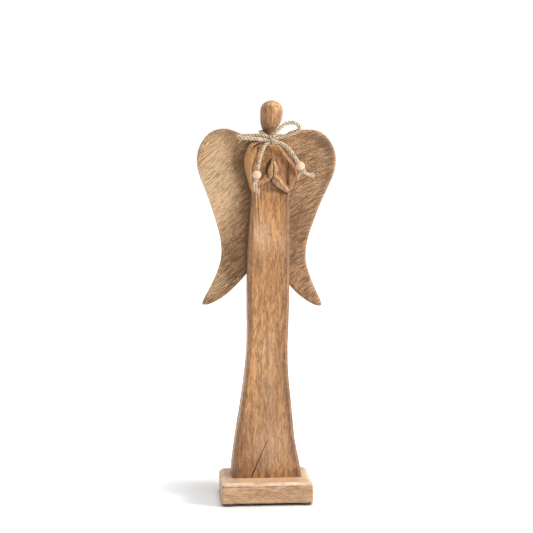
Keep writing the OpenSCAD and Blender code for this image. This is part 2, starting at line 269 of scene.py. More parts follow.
def laid_twine(line, radius, pitch, strands=3, start=0.0):
    """Strands of yarn laid round each other along a line."""
    across, up = frames_along(line)
    along = np.concatenate([[0], np.cumsum(np.linalg.norm(np.diff(line, axis=0), axis=1))])
    parts = []
    for strand in range(strands):
        turn = start + 2 * math.pi * (along / pitch + strand / strands)
        off = across * np.cos(turn)[:, None] + up * np.sin(turn)[:, None]
        lumps = 1 + 0.07 * np.sin(along * 1.7 + 2.1 * strand) + 0.05 * np.sin(along * 0.61 + strand)
        points, faces, marks = tube(line + off * radius * 0.56, radius * 0.5 * lumps, 10, strand)
        out = np.linalg.norm(points - np.repeat(line, 10, axis=0), axis=1) / radius
        # How deep each point lies in between the strands; the material paints it darker there as painted
        # shade.
        marks[:, 3] = np.clip((0.98 - out) * 2.6, 0, 1)
        parts.append((points, faces, marks))
    return parts


def loose_fibres(line, radius, count, reach, rng, ends=False):
    """Short hairs of jute that stand out from the twine."""
    across, up = frames_along(line)
    ahead = unit(np.gradient(line, axis=0))
    parts = []
    for _ in range(count):
        i = int(rng.integers(1, len(line) - 1))
        turn = rng.uniform(0, 2 * math.pi)
        out = across[i] * math.cos(turn) + up[i] * math.sin(turn)
        drift = ahead[i] * rng.uniform(-1.2, 1.2) + rng.normal(0, 0.25, 3)
        long = rng.uniform(0.4, 1.0) * reach
        t = np.linspace(0, 1, 5)[:, None]
        curl = rng.uniform(-0.4, 0.4, 3) * long
        hair = line[i] + out * radius * 0.8 + unit(out + drift) * long * t + curl * t**2 * 0.6
        parts.append(tube(hair, np.linspace(0.07, 0.03, 5), 3, 3 + rng.uniform(0, 1)))
    return parts


def twine_marks(marks):
    return {"yarn": marks[:, :3], "depth": marks[:, 3]}


def build(name, points, faces, material, body, marks=None):
    """Makes a piece from points in millimetres, and says what it rides on."""
    mesh = bpy.data.meshes.new(name)
    mesh.from_pydata((np.asarray(points) * MM).tolist(), [], faces)
    mesh.polygons.foreach_set("use_smooth", [True] * len(mesh.polygons))
    for mark, values in (marks or {}).items():
        values = np.asarray(values, float)
        kind = "FLOAT" if values.ndim == 1 else "FLOAT_VECTOR"
        layer = mesh.attributes.new(mark, kind, "POINT")
        layer.data.foreach_set("value" if values.ndim == 1 else "vector", values.ravel())
    mesh.materials.append(material)
    mesh.update()
    piece = bpy.data.objects.new(name, mesh)
    scene.collection.objects.link(piece)
    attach(piece, body)
    return piece


def put(tree, kind, values=None, **settings):
    """Adds a node. A value that is a socket is linked, and any other is set."""
    added = tree.nodes.new("ShaderNode" + kind)
    for key, setting in settings.items():
        setattr(added, key, setting)
    for key, value in (values or {}).items():
        if isinstance(value, bpy.types.NodeSocket):
            tree.links.new(value, added.inputs[key])
        else:
            added.inputs[key].default_value = value
    return added


def maths(tree, operation, a, b=0.0, clamp=False):
    return put(tree, "Math", {0: a, 1: b}, operation=operation, use_clamp=clamp).outputs[0]


def blend_colour(tree, share, a, b, how="MIX"):
    return put(tree, "Mix", {0: share, 6: a, 7: b}, data_type="RGBA", blend_type=how).outputs[2]


def between(tree, value, low, high):
    """Turns low to high into 0 to 1."""
    return put(tree, "MapRange", {"Value": value, "From Min": low, "From Max": high}).outputs[0]


def noise(tree, place, scale, detail=2.0, rough=0.5):
    return put(tree, "TexNoise", {
        "Vector": place, "Scale": scale, "Detail": detail, "Roughness": rough
    }).outputs["Fac"]


def stretched(tree, place, scales, turn=(0, 0, 0)):
    return put(tree, "Mapping", {"Vector": place, "Rotation": turn, "Scale": scales}).outputs[0]


def rgb(red, green, blue):
    return (red, green, blue, 1.0)


def new_material(name):
    material = bpy.data.materials.new(name)
    material.use_nodes = True
    tree = material.node_tree
    return material, tree, tree.nodes["Principled BSDF"]


def new_group(name, inputs, outputs):
    """A node group with named inputs and outputs; returns it with its two end nodes."""
    group = bpy.data.node_groups.new(name, "ShaderNodeTree")
    for socket, kind in inputs.items():
        group.interface.new_socket(socket, in_out="INPUT", socket_type="NodeSocket" + kind)
    for socket, kind in outputs.items():
        group.interface.new_socket(socket, in_out="OUTPUT", socket_type="NodeSocket" + kind)
    start = group.nodes.new("NodeGroupInput")
    end = group.nodes.new("NodeGroupOutput")
    return group, start, end


def jute_material(name, pale, dark):
    material, tree, shader = new_material(name)
    yarn = put(tree, "Attribute", attribute_name="yarn").outputs["Vector"]
    depth = put(tree, "Attribute", attribute_name="depth").outputs["Fac"]
    place = put(tree, "TexCoord").outputs["Object"]
    fibres = noise(tree, stretched(tree, yarn, (2.6, 0.7, 3.0)), 1.6, 4.0, 0.6)
    patches = noise(tree, place, 260.0, 2.0)
    tone = maths(tree, "ADD", maths(tree, "MULTIPLY", fibres, 0.7), maths(tree, "MULTIPLY", patches, 0.3))
    colour = blend_colour(tree, between(tree, tone, 0.36, 0.60), dark, pale)
    # Painted shade: darker the deeper a point lies in between the strands.
    colour = blend_colour(tree, maths(tree, "MULTIPLY", depth, 0.85), colour, rgb(0.07, 0.045, 0.028))
    tree.links.new(colour, shader.inputs["Base Color"])
    shader.inputs["Roughness"].default_value = 0.9
    shader.inputs["Specular IOR Level"].default_value = 0.2
    shader.inputs["Sheen Weight"].default_value = 0.1
    shader.inputs["Sheen Roughness"].default_value = 0.5
    bump = put(tree, "Bump", {"Height": fibres, "Distance": 0.0003, "Strength": 0.9})
    tree.links.new(bump.outputs["Normal"], shader.inputs["Normal"])
    return material


jute = jute_material("jute", rgb(0.70, 0.56, 0.40), rgb(0.27, 0.175, 0.10))
jute_ends = jute_material("jute_ends", rgb(0.80, 0.66, 0.51), rgb(0.44, 0.32, 0.21))
# The bow's knot gets a darker copy of the jute: painted shade over the whole knot.
jute_knot_painted_shade = jute_material("jute_knot_painted_shade", rgb(0.54, 0.42, 0.29), rgb(0.16, 0.10, 0.055))


def end_knot(name, centre, way, seed, nodes):
    """An overhand knot: the twine wound one and three quarter turns round itself."""
    way = unit(np.array(way, float))
    side = unit(np.cross(way, (0.2, 1, 0.1)))
    other = np.cross(way, side)
    turn = np.linspace(0, 2 * math.pi * 1.8, 40)
    coil = (
        centre + np.outer((turn / turn[-1] - 0.5) * 2.2, way)
        + 1.75 * (np.outer(np.cos(turn), side) + np.outer(np.sin(turn), other))
    )
    core = centre + np.outer(np.linspace(-2.4, 2.4, 8), way)
    rng = np.random.default_rng(seed)
    parts = laid_twine(coil, 1.15, 6.5) + [tube(core, 1.3, 8, 1)]
    parts += loose_fibres(coil, 1.15, 26, 1.8, rng)
    points, faces, marks = join_parts(parts)
    piece = build(name, points, faces, jute, "root", twine_marks(marks))
    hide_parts(*nodes)
    return piece


def frayed_end(name, bundles, seed, nodes, hairs, threads=6):
    """The strands below an end knot, unlaid and spread. Each bundle is a line that they follow."""
    rng = np.random.default_rng(seed)
    parts = []
    for line_points, thick in bundles:
        line = even_line(line_points, 0.6)
        t = np.linspace(0, 1, len(line))
        for _ in range(threads):
            start = rng.normal(0, 0.5, 3)
            spread = rng.normal(0, 0.9, 3) * t[:, None] ** 1.3
            wave = 0.3 * np.sin(t[:, None] * rng.uniform(6, 12) + rng.uniform(0, 6, 3)) * t[:, None]
            first = int(rng.integers(0, max(1, len(line) // 4)))
            last = len(line) - int(rng.integers(0, max(1, len(line) // 3)))
            thread = (line + start + spread + wave)[first:last]
            parts.append(tube(thread, thick * np.linspace(1, 0.55, len(thread)), 7, rng.integers(0, 3)))
        for _ in range(hairs):
            first = int(rng.integers(0, len(line) // 3 + 1))
            run = line[first:]
            s = np.linspace(0, 1, len(run))[:, None]
            away = rng.normal(0, 1.0, 3) * s**1.2 * 1.6
            away = away + 0.3 * np.sin(s * rng.uniform(3, 9)) * rng.normal(0, 1, 3)
            width = np.linspace(0.12, 0.04, len(run))
            parts.append(tube(run + rng.normal(0, 0.25, 3) + away, width, 3, 3.0))
    points, faces, marks = join_parts(parts)
    piece = build(name, points, faces, jute_ends, "root", twine_marks(marks))
    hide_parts(*nodes)
    return piece


left_knot = NECK + np.array(TAIL_ROUTE_LEFT[-1])
right_knot = NECK + np.array(TAIL_ROUTE_RIGHT[-1])
knot_left = end_knot("end_knot_left_twine", left_knot, (-0.17, -0.03, -1), 11, ["end_knot_left"])
knot_right = end_knot("end_knot_right_twine", right_knot, (0.53, -0.04, -0.85), 12, ["end_knot_right"])
fray_left = frayed_end(
    "frayed_left", [
        (left_knot + np.array([(0, 0, -0.5), (0.6, 0.6, -5), (1.2, 1.2, -9.5), (1.6, 1.6, -15)]), 0.5),
        (left_knot + np.array([(0, 0, -0.5), (-1.8, 0.4, -4.5), (-1.4, 1.0, -8.5), (0.6, 1.2, -13)]), 0.45),
    ], 21, ["frayed_end_left"], 14,
)
fray_right = frayed_end(
    "frayed_right", [
        (right_knot + np.array([
            (0, 0, -0.5), (3.6, 0, -2.6), (7.4, 0.3, -4.6), (11.6, 0.5, -5.2), (12.2, 0, -7.6),
        ]), 0.5),
        (right_knot + np.array([(0, 0, -0.5), (-3.2, 0.5, -2.2), (-5.4, 1, -6), (-6.2, 1.4, -10.6)]), 0.42),
    ], 22, ["frayed_end_right"], 8,
)

# The bow's knot: one turn and a half over the crossing strands
turns = np.linspace(-0.3, 2 * math.pi * 1.6, 60)
wrap = NECK + BOW_KNOT_AT + np.stack([
    -3.1 + 6.0 * turns / turns[-1] + 0.6 * np.sin(turns),
    -0.4 - 3.6 * np.cos(turns),
    0.6 - 4.1 * np.sin(turns) + 0.8 * (turns / turns[-1] - 0.5),
], axis=1)
knot_parts = laid_twine(wrap, 1.75, 9)
knot_parts += loose_fibres(wrap, 1.5, 50, 2.2, np.random.default_rng(31))
knot_points, knot_faces, knot_marks = join_parts(knot_parts)
bow_knot = build(
    "bow_knot_twine", knot_points, knot_faces, jute_knot_painted_shade, "root", twine_marks(knot_marks)
)
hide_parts("bow_knot")

ROUTES = {
    "left": NECK_ROUTE_LEFT + LOOP_ROUTE_LEFT + TAIL_ROUTE_LEFT,
    "right": NECK_ROUTE_RIGHT + LOOP_ROUTE_RIGHT + TAIL_ROUTE_RIGHT,
}
on_twine = {"left": [bow_knot, knot_left, fray_left], "right": [knot_right, fray_right]}
for side, seed in (("left", 41), ("right", 42)):
    line = NECK + even_line(ROUTES[side], 0.7)
    parts = laid_twine(line, TWINE_R, 11) + loose_fibres(
        line, TWINE_R, 420, 1.9, np.random.default_rng(seed)
    )
    points, faces, marks = join_parts(parts)
    half = build("twine_" + side, points, faces, jute, "root", twine_marks(marks))
    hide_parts("neck_twine_" + side, "bow_loop_" + side, "tail_" + side)

# ---------------------------------------------------------------------------
# Beads: turned from pale unvarnished wood, drilled through, loose on the tails.
# They ride on their own bodies, which slide up from the end knots.
# ---------------------------------------------------------------------------
BEAD_R = 5.0
BEAD_HOLE_R = 2.2


def bead_material():
    material, tree, shader = new_material("bead_wood")
    place = put(tree, "TexCoord").outputs["Object"]
    grain = noise(tree, stretched(tree, place, (900, 2600, 700), (0.4, 0.3, 0)), 1.0, 3.0, 0.6)
    blotch = noise(tree, place, 190.0, 2.0)
    tone = maths(tree, "ADD", maths(tree, "MULTIPLY", grain, 0.6), maths(tree, "MULTIPLY", blotch, 0.4))
    colour = blend_colour(
        tree, between(tree, tone, 0.38, 0.62), rgb(0.52, 0.31, 0.18), rgb(0.72, 0.50, 0.34)
    )
    tree.links.new(colour, shader.inputs["Base Color"])
    shader.inputs["Roughness"].default_value = 0.55
    bump = put(tree, "Bump", {"Height": grain, "Distance": 0.0001, "Strength": 0.5})
    tree.links.new(bump.outputs["Normal"], shader.inputs["Normal"])
    return material


bead_wood = bead_material()


def bead(side, knot, way):
    """A ball with a hole, its rims a little rounded by wear."""
    low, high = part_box("bead_" + side)
    centre = np.array([(low[k] + high[k]) / 2 for k in range(3)]) / MM
    hole = math.asin(BEAD_HOLE_R / BEAD_R)
    polar = np.linspace(math.pi - hole - 0.06, hole + 0.06, 30)
    profile = [(BEAD_R * math.sin(a), BEAD_R * math.cos(a)) for a in polar]
    rim = BEAD_R * math.cos(hole) - 0.12
    inner = [(BEAD_HOLE_R, z) for z in np.linspace(rim - 0.25, -rim + 0.25, 6)]
    profile += [(BEAD_HOLE_R + 0.12, rim)] + inner + [(BEAD_HOLE_R + 0.12, -rim)]
    turn = np.linspace(0, 2 * math.pi, 40, endpoint=False)
    axis = unit(np.array(way, float))
    side_way = unit(np.cross(axis, (0, 1, 0.2)))
    other = np.cross(axis, side_way)
    points = [
        centre + r * (math.cos(t) * side_way + math.sin(t) * other) + z * axis
        for r, z in profile for t in turn
    ]
    faces = ring_faces(len(profile), len(turn))
    last = (len(profile) - 1) * len(turn)
    faces += [
        (last + k, last + (k + 1) % len(turn), (k + 1) % len(turn), k) for k in range(len(turn))
    ]
    piece = build("bead_%s_ball" % side, points, faces, bead_wood, "bead_" + side)
    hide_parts("bead_" + side)
    return piece


bead_left = bead("left", left_knot, np.array(TAIL_ROUTE_LEFT[4]) - TAIL_ROUTE_LEFT[-1])
bead_right = bead("right", right_knot, np.array(TAIL_ROUTE_RIGHT[4]) - TAIL_ROUTE_RIGHT[-1])
on_twine["left"].append(bead_left)
on_twine["right"].append(bead_right)

# ---------------------------------------------------------------------------
# Plinth: a sawn and planed block of pale mango wood, waxed. Its edges are cut
# to a flat bevel, paler where they have worn. Two screws come up through it.
# Its top is painted paler with painted light from above, and the left end of the top darker with the body's
# painted shadow.
# ---------------------------------------------------------------------------
PLINTH_BEVEL = 3.6
base_low, base_high = (np.array(corner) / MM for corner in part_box("base"))


def wood_grain_group():
    """Grain along Z, in metres: pores, streaks and clouds, with a height for the bump."""
    group, start, end = new_group(
        "wood_grain", {"Place": "Vector", "Size": "Float"},
        {"Streaks": "Float", "Pores": "Float", "Clouds": "Float", "Height": "Float"},
    )
    place = put(group, "VectorMath", {0: start.outputs["Place"]}, operation="SCALE")
    group.links.new(start.outputs["Size"], place.inputs["Scale"])
    place = place.outputs[0]
    wide = noise(group, stretched(group, place, (95, 95, 7)), 1.0, 3.0, 0.55)
    fine = noise(group, stretched(group, place, (400, 400, 80)), 1.0, 5.0, 0.8)
    streaks = maths(group, "ADD", maths(group, "MULTIPLY", wide, 0.25), maths(group, "MULTIPLY", fine, 0.75))
    hair = noise(group, stretched(group, place, (620, 620, 160)), 1.0, 2.0, 0.6)
    pores = between(group, hair, 0.56, 0.66)
    clouds = noise(group, stretched(group, place, (26, 26, 12)), 1.0, 3.0, 0.5)
    height = maths(group, "SUBTRACT", streaks, maths(group, "MULTIPLY", pores, 0.5))
    for socket, value in (("Streaks", streaks), ("Pores", pores), ("Clouds", clouds), ("Height", height)):
        group.links.new(value, end.inputs[socket])
    return group


WOOD_GRAIN = wood_grain_group()


def wood_material(name, pale, mid, dark, grain_turn=(0, 0, 0), bump=0.0003, rough=0.44):
    """Waxed mango wood. A mesh may mark wax left in its grooves together with painted shade, wear on its
    edges together with painted light, and stains together with painted shade.
    """
    material, tree, shader = new_material(name)
    place = put(tree, "TexCoord").outputs["Object"]
    grain = put(tree, "Group", node_tree=WOOD_GRAIN)
    tree.links.new(stretched(tree, place, (1, 1, 1), grain_turn), grain.inputs["Place"])
    grain.inputs["Size"].default_value = 1.0
    streaks = between(tree, grain.outputs["Streaks"], 0.42, 0.57)
    clouds = between(tree, grain.outputs["Clouds"], 0.35, 0.66)
    colour = blend_colour(tree, streaks, mid, pale)
    # Darker patches: stains, with painted shade where a mesh marks it.
    stain_light_and_shade = put(tree, "Attribute", attribute_name="stain_light_and_shade").outputs["Fac"]
    speckle = between(tree, noise(tree, stretched(tree, place, (420, 420, 210)), 1.0, 4.0, 0.7), 0.36, 0.60)
    speckled = maths(tree, "ADD", 0.35, maths(tree, "MULTIPLY", speckle, 0.9))
    stain_light_and_shade = maths(tree, "MULTIPLY", stain_light_and_shade, speckled, clamp=True)
    colour = blend_colour(tree, stain_light_and_shade, colour, rgb(0.155, 0.062, 0.026))
    shade = maths(tree, "MULTIPLY", maths(tree, "SUBTRACT", 1.0, clouds), 0.4)
    colour = blend_colour(tree, shade, colour, dark)
    colour = blend_colour(tree, maths(tree, "MULTIPLY", grain.outputs["Pores"], 0.6), colour, dark)
    # Paler patches: wear on edges, with painted light where a mesh marks it.
    edge = put(tree, "Attribute", attribute_name="wear_light_and_shade").outputs["Fac"]
    colour = blend_colour(tree, maths(tree, "MULTIPLY", edge, 0.6), colour, rgb(0.80, 0.60, 0.42))
    # Dark fill: wax left in the cuts, with painted shade where a mesh marks it.
    wax = put(tree, "Attribute", attribute_name="wax_and_shade").outputs["Fac"]
    patchy = between(tree, noise(tree, place, 420.0, 3.0, 0.6), 0.25, 0.6)
    patchy = maths(tree, "ADD", maths(tree, "MULTIPLY", patchy, 0.5), 0.5)
    wax = maths(tree, "MULTIPLY", wax, patchy, clamp=True)
    colour = blend_colour(tree, wax, colour, rgb(0.085, 0.045, 0.022))
    tree.links.new(colour, shader.inputs["Base Color"])
    tree.links.new(
        maths(tree, "SUBTRACT", rough + 0.08, maths(tree, "MULTIPLY", streaks, 0.12)),
        shader.inputs["Roughness"],
    )
    shader.inputs["Specular IOR Level"].default_value = 0.55
    rise = put(tree, "Bump", {"Height": grain.outputs["Height"], "Distance": bump, "Strength": 1.0})
    tree.links.new(rise.outputs["Normal"], shader.inputs["Normal"])
    return material


LYING = (0, math.pi / 2, 0)
plinth_wood = wood_material(
    "base_mango", rgb(0.70, 0.45, 0.255), rgb(0.42, 0.23, 0.11), rgb(0.24, 0.12, 0.055), LYING
)


def rounded_box_ring(half_x, half_y, corner, per_corner, per_side):
    """Points round a rectangle with rounded corners, the same count whatever its size."""
    points = []
    for quarter, (sx, sy) in enumerate(((1, -1), (1, 1), (-1, 1), (-1, -1))):
        middle = ((half_x - corner) * sx, (half_y - corner) * sy)
        begin = -math.pi / 2 + quarter * math.pi / 2
        for k in range(per_corner + 1):
            turn = begin + math.pi / 2 * k / per_corner
            points.append((middle[0] + corner * math.cos(turn), middle[1] + corner * math.sin(turn)))
    full = []
    for k, p in enumerate(points):
        full.append(p)
        after = points[(k + 1) % len(points)]
        if k % (per_corner + 1) == per_corner:
            for j in range(1, per_side):
                s = j / per_side
                full.append((p[0] + (after[0] - p[0]) * s, p[1] + (after[1] - p[1]) * s))
    return np.array(full)


def ripple(points, size, amount, seed):
    """Smooth random unevenness, from a few sine waves, at points in millimetres."""
    rng = np.random.default_rng(seed)
    total = np.zeros(len(points))
    for _ in range(9):
        way = rng.normal(0, 1, 3) / size
        total += np.sin(points @ way + rng.uniform(0, 2 * math.pi))
    return total * amount / 3


def drill(piece, places, radius, head_radius, low, high, head_low, head_high, axis="Z"):
    """Cuts screw holes with a countersink at one end out of a piece."""
    cutters = []
    for x, y, z in places:
        rows = [(low, radius), (head_low, radius), (head_high, head_radius), (high, head_radius)]
        rows.sort()
        turn = np.linspace(0, 2 * math.pi, 28, endpoint=False)
        points = [
            (x + r * math.cos(t), y + r * math.sin(t), z + level) if axis == "Z"
            else (x + r * math.cos(t), y + level, z - r * math.sin(t))
            for level, r in rows for t in turn
        ]
        faces = ring_faces(len(rows), len(turn))
        faces.append(tuple(range(len(turn)))[::-1])
        faces.append(tuple(3 * len(turn) + k for k in range(len(turn))))
        mesh = bpy.data.meshes.new("hole")
        mesh.from_pydata((np.array(points) * MM).tolist(), [], faces)
        cutter = bpy.data.objects.new("hole", mesh)
        scene.collection.objects.link(cutter)
        cutters.append(cutter)
    for cutter in cutters:
        cut = piece.modifiers.new("hole", "BOOLEAN")
        cut.operation = "DIFFERENCE"
        cut.solver = "MANIFOLD"
        cut.object = cutter
    bpy.context.view_layer.update()
    seen_mesh = piece.evaluated_get(bpy.context.evaluated_depsgraph_get())
    piece.data = bpy.data.meshes.new_from_object(seen_mesh)
    piece.modifiers.clear()
    for cutter in cutters:
        bpy.data.objects.remove(cutter)


def node_middle(node):
    low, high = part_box(node)
    return [(low[k] + high[k]) / 2 / MM for k in range(3)]


def make_plinth():
    half_x = (base_high[0] - base_low[0]) / 2
    half_y = (base_high[1] - base_low[1]) / 2
    middle_x = (base_high[0] + base_low[0]) / 2
    bottom, top = base_low[2], base_high[2]
    rows = [(bottom, 1.4), (bottom + 0.35, 0.6), (bottom + 1.2, 0.0)]
    rows += [(z, 0.0) for z in np.linspace(bottom + 3, top - PLINTH_BEVEL - 1, 12)]
    rows += [
        (top - PLINTH_BEVEL - 0.25, 0.0), (top - PLINTH_BEVEL + 0.15, 0.15),
        (top - PLINTH_BEVEL * 0.66, 1.35), (top - PLINTH_BEVEL * 0.33, 2.6),
        (top - 0.4, 3.7), (top - 0.1, 4.1), (top, 4.8),
    ]
    rings, marks = [], []
    for z, inset in rows:
        ring = rounded_box_ring(half_x - inset, half_y - inset, 1.6, 4, 30)
        rings.append(np.column_stack([ring[:, 0] + middle_x, ring[:, 1], np.full(len(ring), z)]))
    count = len(rings[0])
    for inset in (9, 16, 24, 32):
        ring = rounded_box_ring(half_x - inset, half_y - inset, 1.6, 4, 30)
        rings.append(np.column_stack([ring[:, 0] + middle_x, ring[:, 1], np.full(count, top)]))
    points = np.vstack(rings)
    faces = ring_faces(len(rings), count)
    faces.append(tuple(range(count))[::-1])
    faces.append(tuple((len(rings) - 1) * count + k for k in range(count)))
    z = points[:, 2]
    middle = np.array([middle_x, 0, (bottom + top) / 2])
    inward = unit(middle - points)
    wear = ripple(points, 9, 0.5, 3) + ripple(points, 2.5, 0.4, 4)
    on_bevel = ((z > top - PLINTH_BEVEL - 0.3) & (z < top - 0.05)).astype(float)
    edge_line = np.exp(-((z - (top - PLINTH_BEVEL - 0.1)) / 0.45) ** 2)
    upright = z < top - PLINTH_BEVEL - 0.5
    depth = 0.10 * (1 + ripple(points, 14, 1.0, 5)) + edge_line * 0.18 * (0.6 + wear)
    depth = np.where(upright | (on_bevel > 0), np.clip(depth, 0, 0.6), 0.0)
    sideways = inward.copy()
    sideways[:, 2] = 0
    points = points + unit(sideways) * depth[:, None]
    wear_light_and_shade = on_bevel * np.clip(0.5 + 0.5 * wear, 0, 1)
    to_right = np.clip((points[:, 0] + 10) / 40, 0, 1)
    wax_and_shade = np.clip(edge_line * (0.45 + 0.35 * to_right + 0.8 * ripple(points, 5, 1.0, 6)), 0, 0.9)
    # Darker towards the bottom edge.
    wax_and_shade = np.maximum(wax_and_shade, np.clip(0.5 - (z - bottom) * 0.7, 0, 0.5))
    # Painted light: the whole top is paler, as lit from above.
    wear_light_and_shade = np.maximum(wear_light_and_shade, 0.3 * (z > top - 0.05))
    # Painted shadow of the body on the left end of the top.
    shaded = 0.45 * np.clip((-30 - points[:, 0]) / 10, 0, 1) * (z > top - 0.05)
    plinth = build(
        "plinth_block", points, faces, plinth_wood, "root",
        {"wear_light_and_shade": wear_light_and_shade, "wax_and_shade": wax_and_shade, "stain_light_and_shade": shaded},
    )
    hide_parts("base")
    places = [
        (*node_middle(screw)[:2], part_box(screw)[0][2] / MM)
        for screw in ("base_screw_left", "base_screw_right")
    ]
    drill(plinth, places, 2.12, 4.12, -4, 40, 2.0, 0.0)
    return plinth


plinth = make_plinth()

# ---------------------------------------------------------------------------
# Felt discs: four dark self-adhesive pads, each in a shallow place under a
# corner of the plinth. They keep their CAD shape.
# ---------------------------------------------------------------------------


def felt_material():
    material, tree, shader = new_material("foot_felt")
    place = put(tree, "TexCoord").outputs["Object"]
    fluff = noise(tree, place, 2600.0, 3.0, 0.7)
    colour = blend_colour(tree, fluff, rgb(0.035, 0.028, 0.024), rgb(0.12, 0.10, 0.088))
    tree.links.new(colour, shader.inputs["Base Color"])
    shader.inputs["Roughness"].default_value = 0.95
    shader.inputs["Sheen Weight"].default_value = 0.4
    rise = put(tree, "Bump", {"Height": fluff, "Distance": 0.0004, "Strength": 1.0})
    tree.links.new(rise.outputs["Normal"], shader.inputs["Normal"])
    return material


def paint_node(node, material):
    """Gives a CAD node its material, as its shape is already the real one."""
    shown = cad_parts[node]
    shown.data.materials.clear()
    shown.data.materials.append(material)


felt = felt_material()
for corner in ("front_left", "front_right", "back_left", "back_right"):
    paint_node("foot_" + corner, felt)

# ---------------------------------------------------------------------------
# Body: robe, chest, arms and hands carved from one block of mango wood, with
# dark wax left in the cuts and a drying crack at the foot. Glued and screwed
# to the plinth.
# The dark in the cuts is partly painted shade, under the forearms and where the block turns back to the
# wings, and its left side is painted darker as shade.
# ---------------------------------------------------------------------------
body_wood = wood_material(
    "body_mango", rgb(0.59, 0.30, 0.108), rgb(0.23, 0.095, 0.028), rgb(0.13, 0.05, 0.016)
)
body_tree = BVHTree.FromObject(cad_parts["body"], bpy.context.evaluated_depsgraph_get())
body_low, body_high = (np.array(corner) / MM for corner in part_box("body"))
FOOT_Z = body_low[2]
WAIST_Z = FOOT_Z + 319
NECK_Z = body_high[2]


def hit(tree, start, way):
    """How far a ray from start, in millimetres, goes before it meets the mesh."""
    found = tree.ray_cast(Vector(start) * MM, Vector(way))
    return None if found[0] is None else found[0] / MM


def along_points(z, points):
    """A value that changes along z, read between given (z, value) points."""
    levels, values = zip(*points)
    return np.interp(z, levels, values)


def eased(value, low, high):
    """0 below low and 1 above high, smooth between."""
    t = np.clip((value - low) / (high - low), 0, 1)
    return t * t * (3 - 2 * t)


def beside(x, z, line):
    """Signed distance from points to a line through (x, z) points, positive on its left hand."""
    best = np.full(x.shape, 1e9)
    sign = np.ones(x.shape)
    for (ax, az), (bx, bz) in zip(line, line[1:]):
        wx, wz = bx - ax, bz - az
        t = np.clip(((x - ax) * wx + (z - az) * wz) / (wx * wx + wz * wz), 0, 1)
        dx, dz = x - ax - t * wx, z - az - t * wz
        far = np.hypot(dx, dz)
        near = far < best
        best = np.where(near, far, best)
        sign = np.where(near, np.sign(wx * dz - wz * dx), sign)
    return best * sign


def soft_min(a, b, k):
    return -k * np.logaddexp(-a / k, -b / k)


def cut(x, z, line, width, depth):
    """A V-shaped cut along a line."""
    return -depth * np.clip(1 - np.abs(beside(x, z, line)) / width, 0, 1) ** 1.3


def spot(x, z, at, size, turn=0.0):
    """A soft oval patch, 1 in its middle."""
    dx, dz = x - at[0], z - at[1]
    u = dx * math.cos(turn) + dz * math.sin(turn)
    v = dz * math.cos(turn) - dx * math.sin(turn)
    return np.exp(-(u / size[0]) ** 2 - (v / size[1]) ** 2)


def inside(x, z, outline):
    """True for points inside a closed outline."""
    within = np.zeros(x.shape, bool)
    for (ax, az), (bx, bz) in zip(outline, outline[1:] + outline[:1]):
        if az != bz:
            crosses = (az > z) != (bz > z)
            within ^= crosses & (x < ax + (z - az) * (bx - ax) / (bz - az))
    return within


# The carving on the front, as lines through (x, z) in millimetres
FOREARM_RIGHT_UNDER = [(2.0, 361.4), (4.6, 358), (8.6, 354), (15, 349.8), (20, 347.4), (27, 346.2)]
FOREARM_RIGHT_OVER = [
    (4.6, 372), (7, 371), (10.6, 369.6), (14.8, 365.6), (18.2, 361), (21.2, 356.4), (27, 350),
]
FOREARM_LEFT_UNDER = [(2.0, 361.4), (-4.5, 358.4), (-9, 355.6), (-15, 352.6), (-23, 350)]
FOREARM_LEFT_OVER = [(-2.6, 371), (-6.5, 368.4), (-11, 364), (-16, 360.4), (-23, 357)]
HAND_LEFT_EDGE = [
    (2.0, 361.4), (-2.2, 366), (-3.0, 370), (-2.5, 373.5), (-0.8, 378), (2.0, 382.6), (4.4, 386.4),
]
HAND_RIGHT_EDGE = [
    (2.0, 361.4), (5.4, 364.4), (8.8, 368.6), (10.6, 372.8), (10.2, 376.3), (7.8, 381.5), (4.8, 386.4),
]
HAND_CREASE = [(4.3, 383.6), (4.0, 381), (5.1, 376.2), (4.7, 371.5), (4.0, 365.5), (2.4, 362)]
ARM_RIGHT_INNER = [(13.2, 397.8), (18.4, 391), (21.8, 384.8), (22, 376.4), (20.6, 368), (20.2, 357)]
ARM_LEFT_INNER = [(-11.4, 398), (-13.4, 392), (-16, 384.2), (-18.2, 377), (-18.8, 370), (-18, 361)]
SHOULDER_LEFT_ARCH = [(-9.6, 402), (-13, 400.6), (-17, 398.2), (-21, 394.6), (-24.4, 390.6), (-26.2, 386)]
SHOULDER_RIGHT_ARCH = [(9.5, 400.6), (15.4, 394.4), (22.6, 385.6), (27.6, 379), (30.8, 374)]
CRACK = [
    (-21.4, 25.8), (-19.2, 29.6), (-17.4, 34.2), (-14.9, 38.8), (-14.6, 41.4), (-12.4, 44.6), (-11.4, 48.4),
    (-8.8, 52.6), (-7.9, 56.4), (-5.3, 60.6), (-3.9, 64.6), (-1.2, 69.8),
]
# Pale patches of painted light on the front: share, middle, size and turn.
BODY_PAINTED_LIGHT = [
    (0.42, (-10, 300), (12, 17), 0.1), (0.18, (-2, 150), (11, 60), 0.0), (0.30, (2, 62), (20, 24), 0.0),
    (0.25, (-20, 370), (5, 12), 0.2), (0.2, (14, 292), (8, 16), 0.1),
]

BODY_STAINS = [
    (0.7, (30, 33), (7, 4), 0.3), (0.3, (1, 33.5), (8, 3), -0.1), (0.25, (-30, 36), (8, 5), 0.0),
    (0.2, (27, 55), (7, 18), 0.1), (0.3, (-32, 70), (4, 40), 0.1), (0.25, (16, 30), (16, 3), 0.0),
    (0.3, (2, 278), (30, 24), 0.0), (0.25, (14, 180), (8, 70), 0.0), (0.3, (12, 378), (7, 12), 0.3),
    (0.35, (27, 372), (6, 12), -0.1), (0.3, (-3, 388), (7, 8), 0.0), (0.45, (-6.5, 365), (3, 4), 0.2),
]


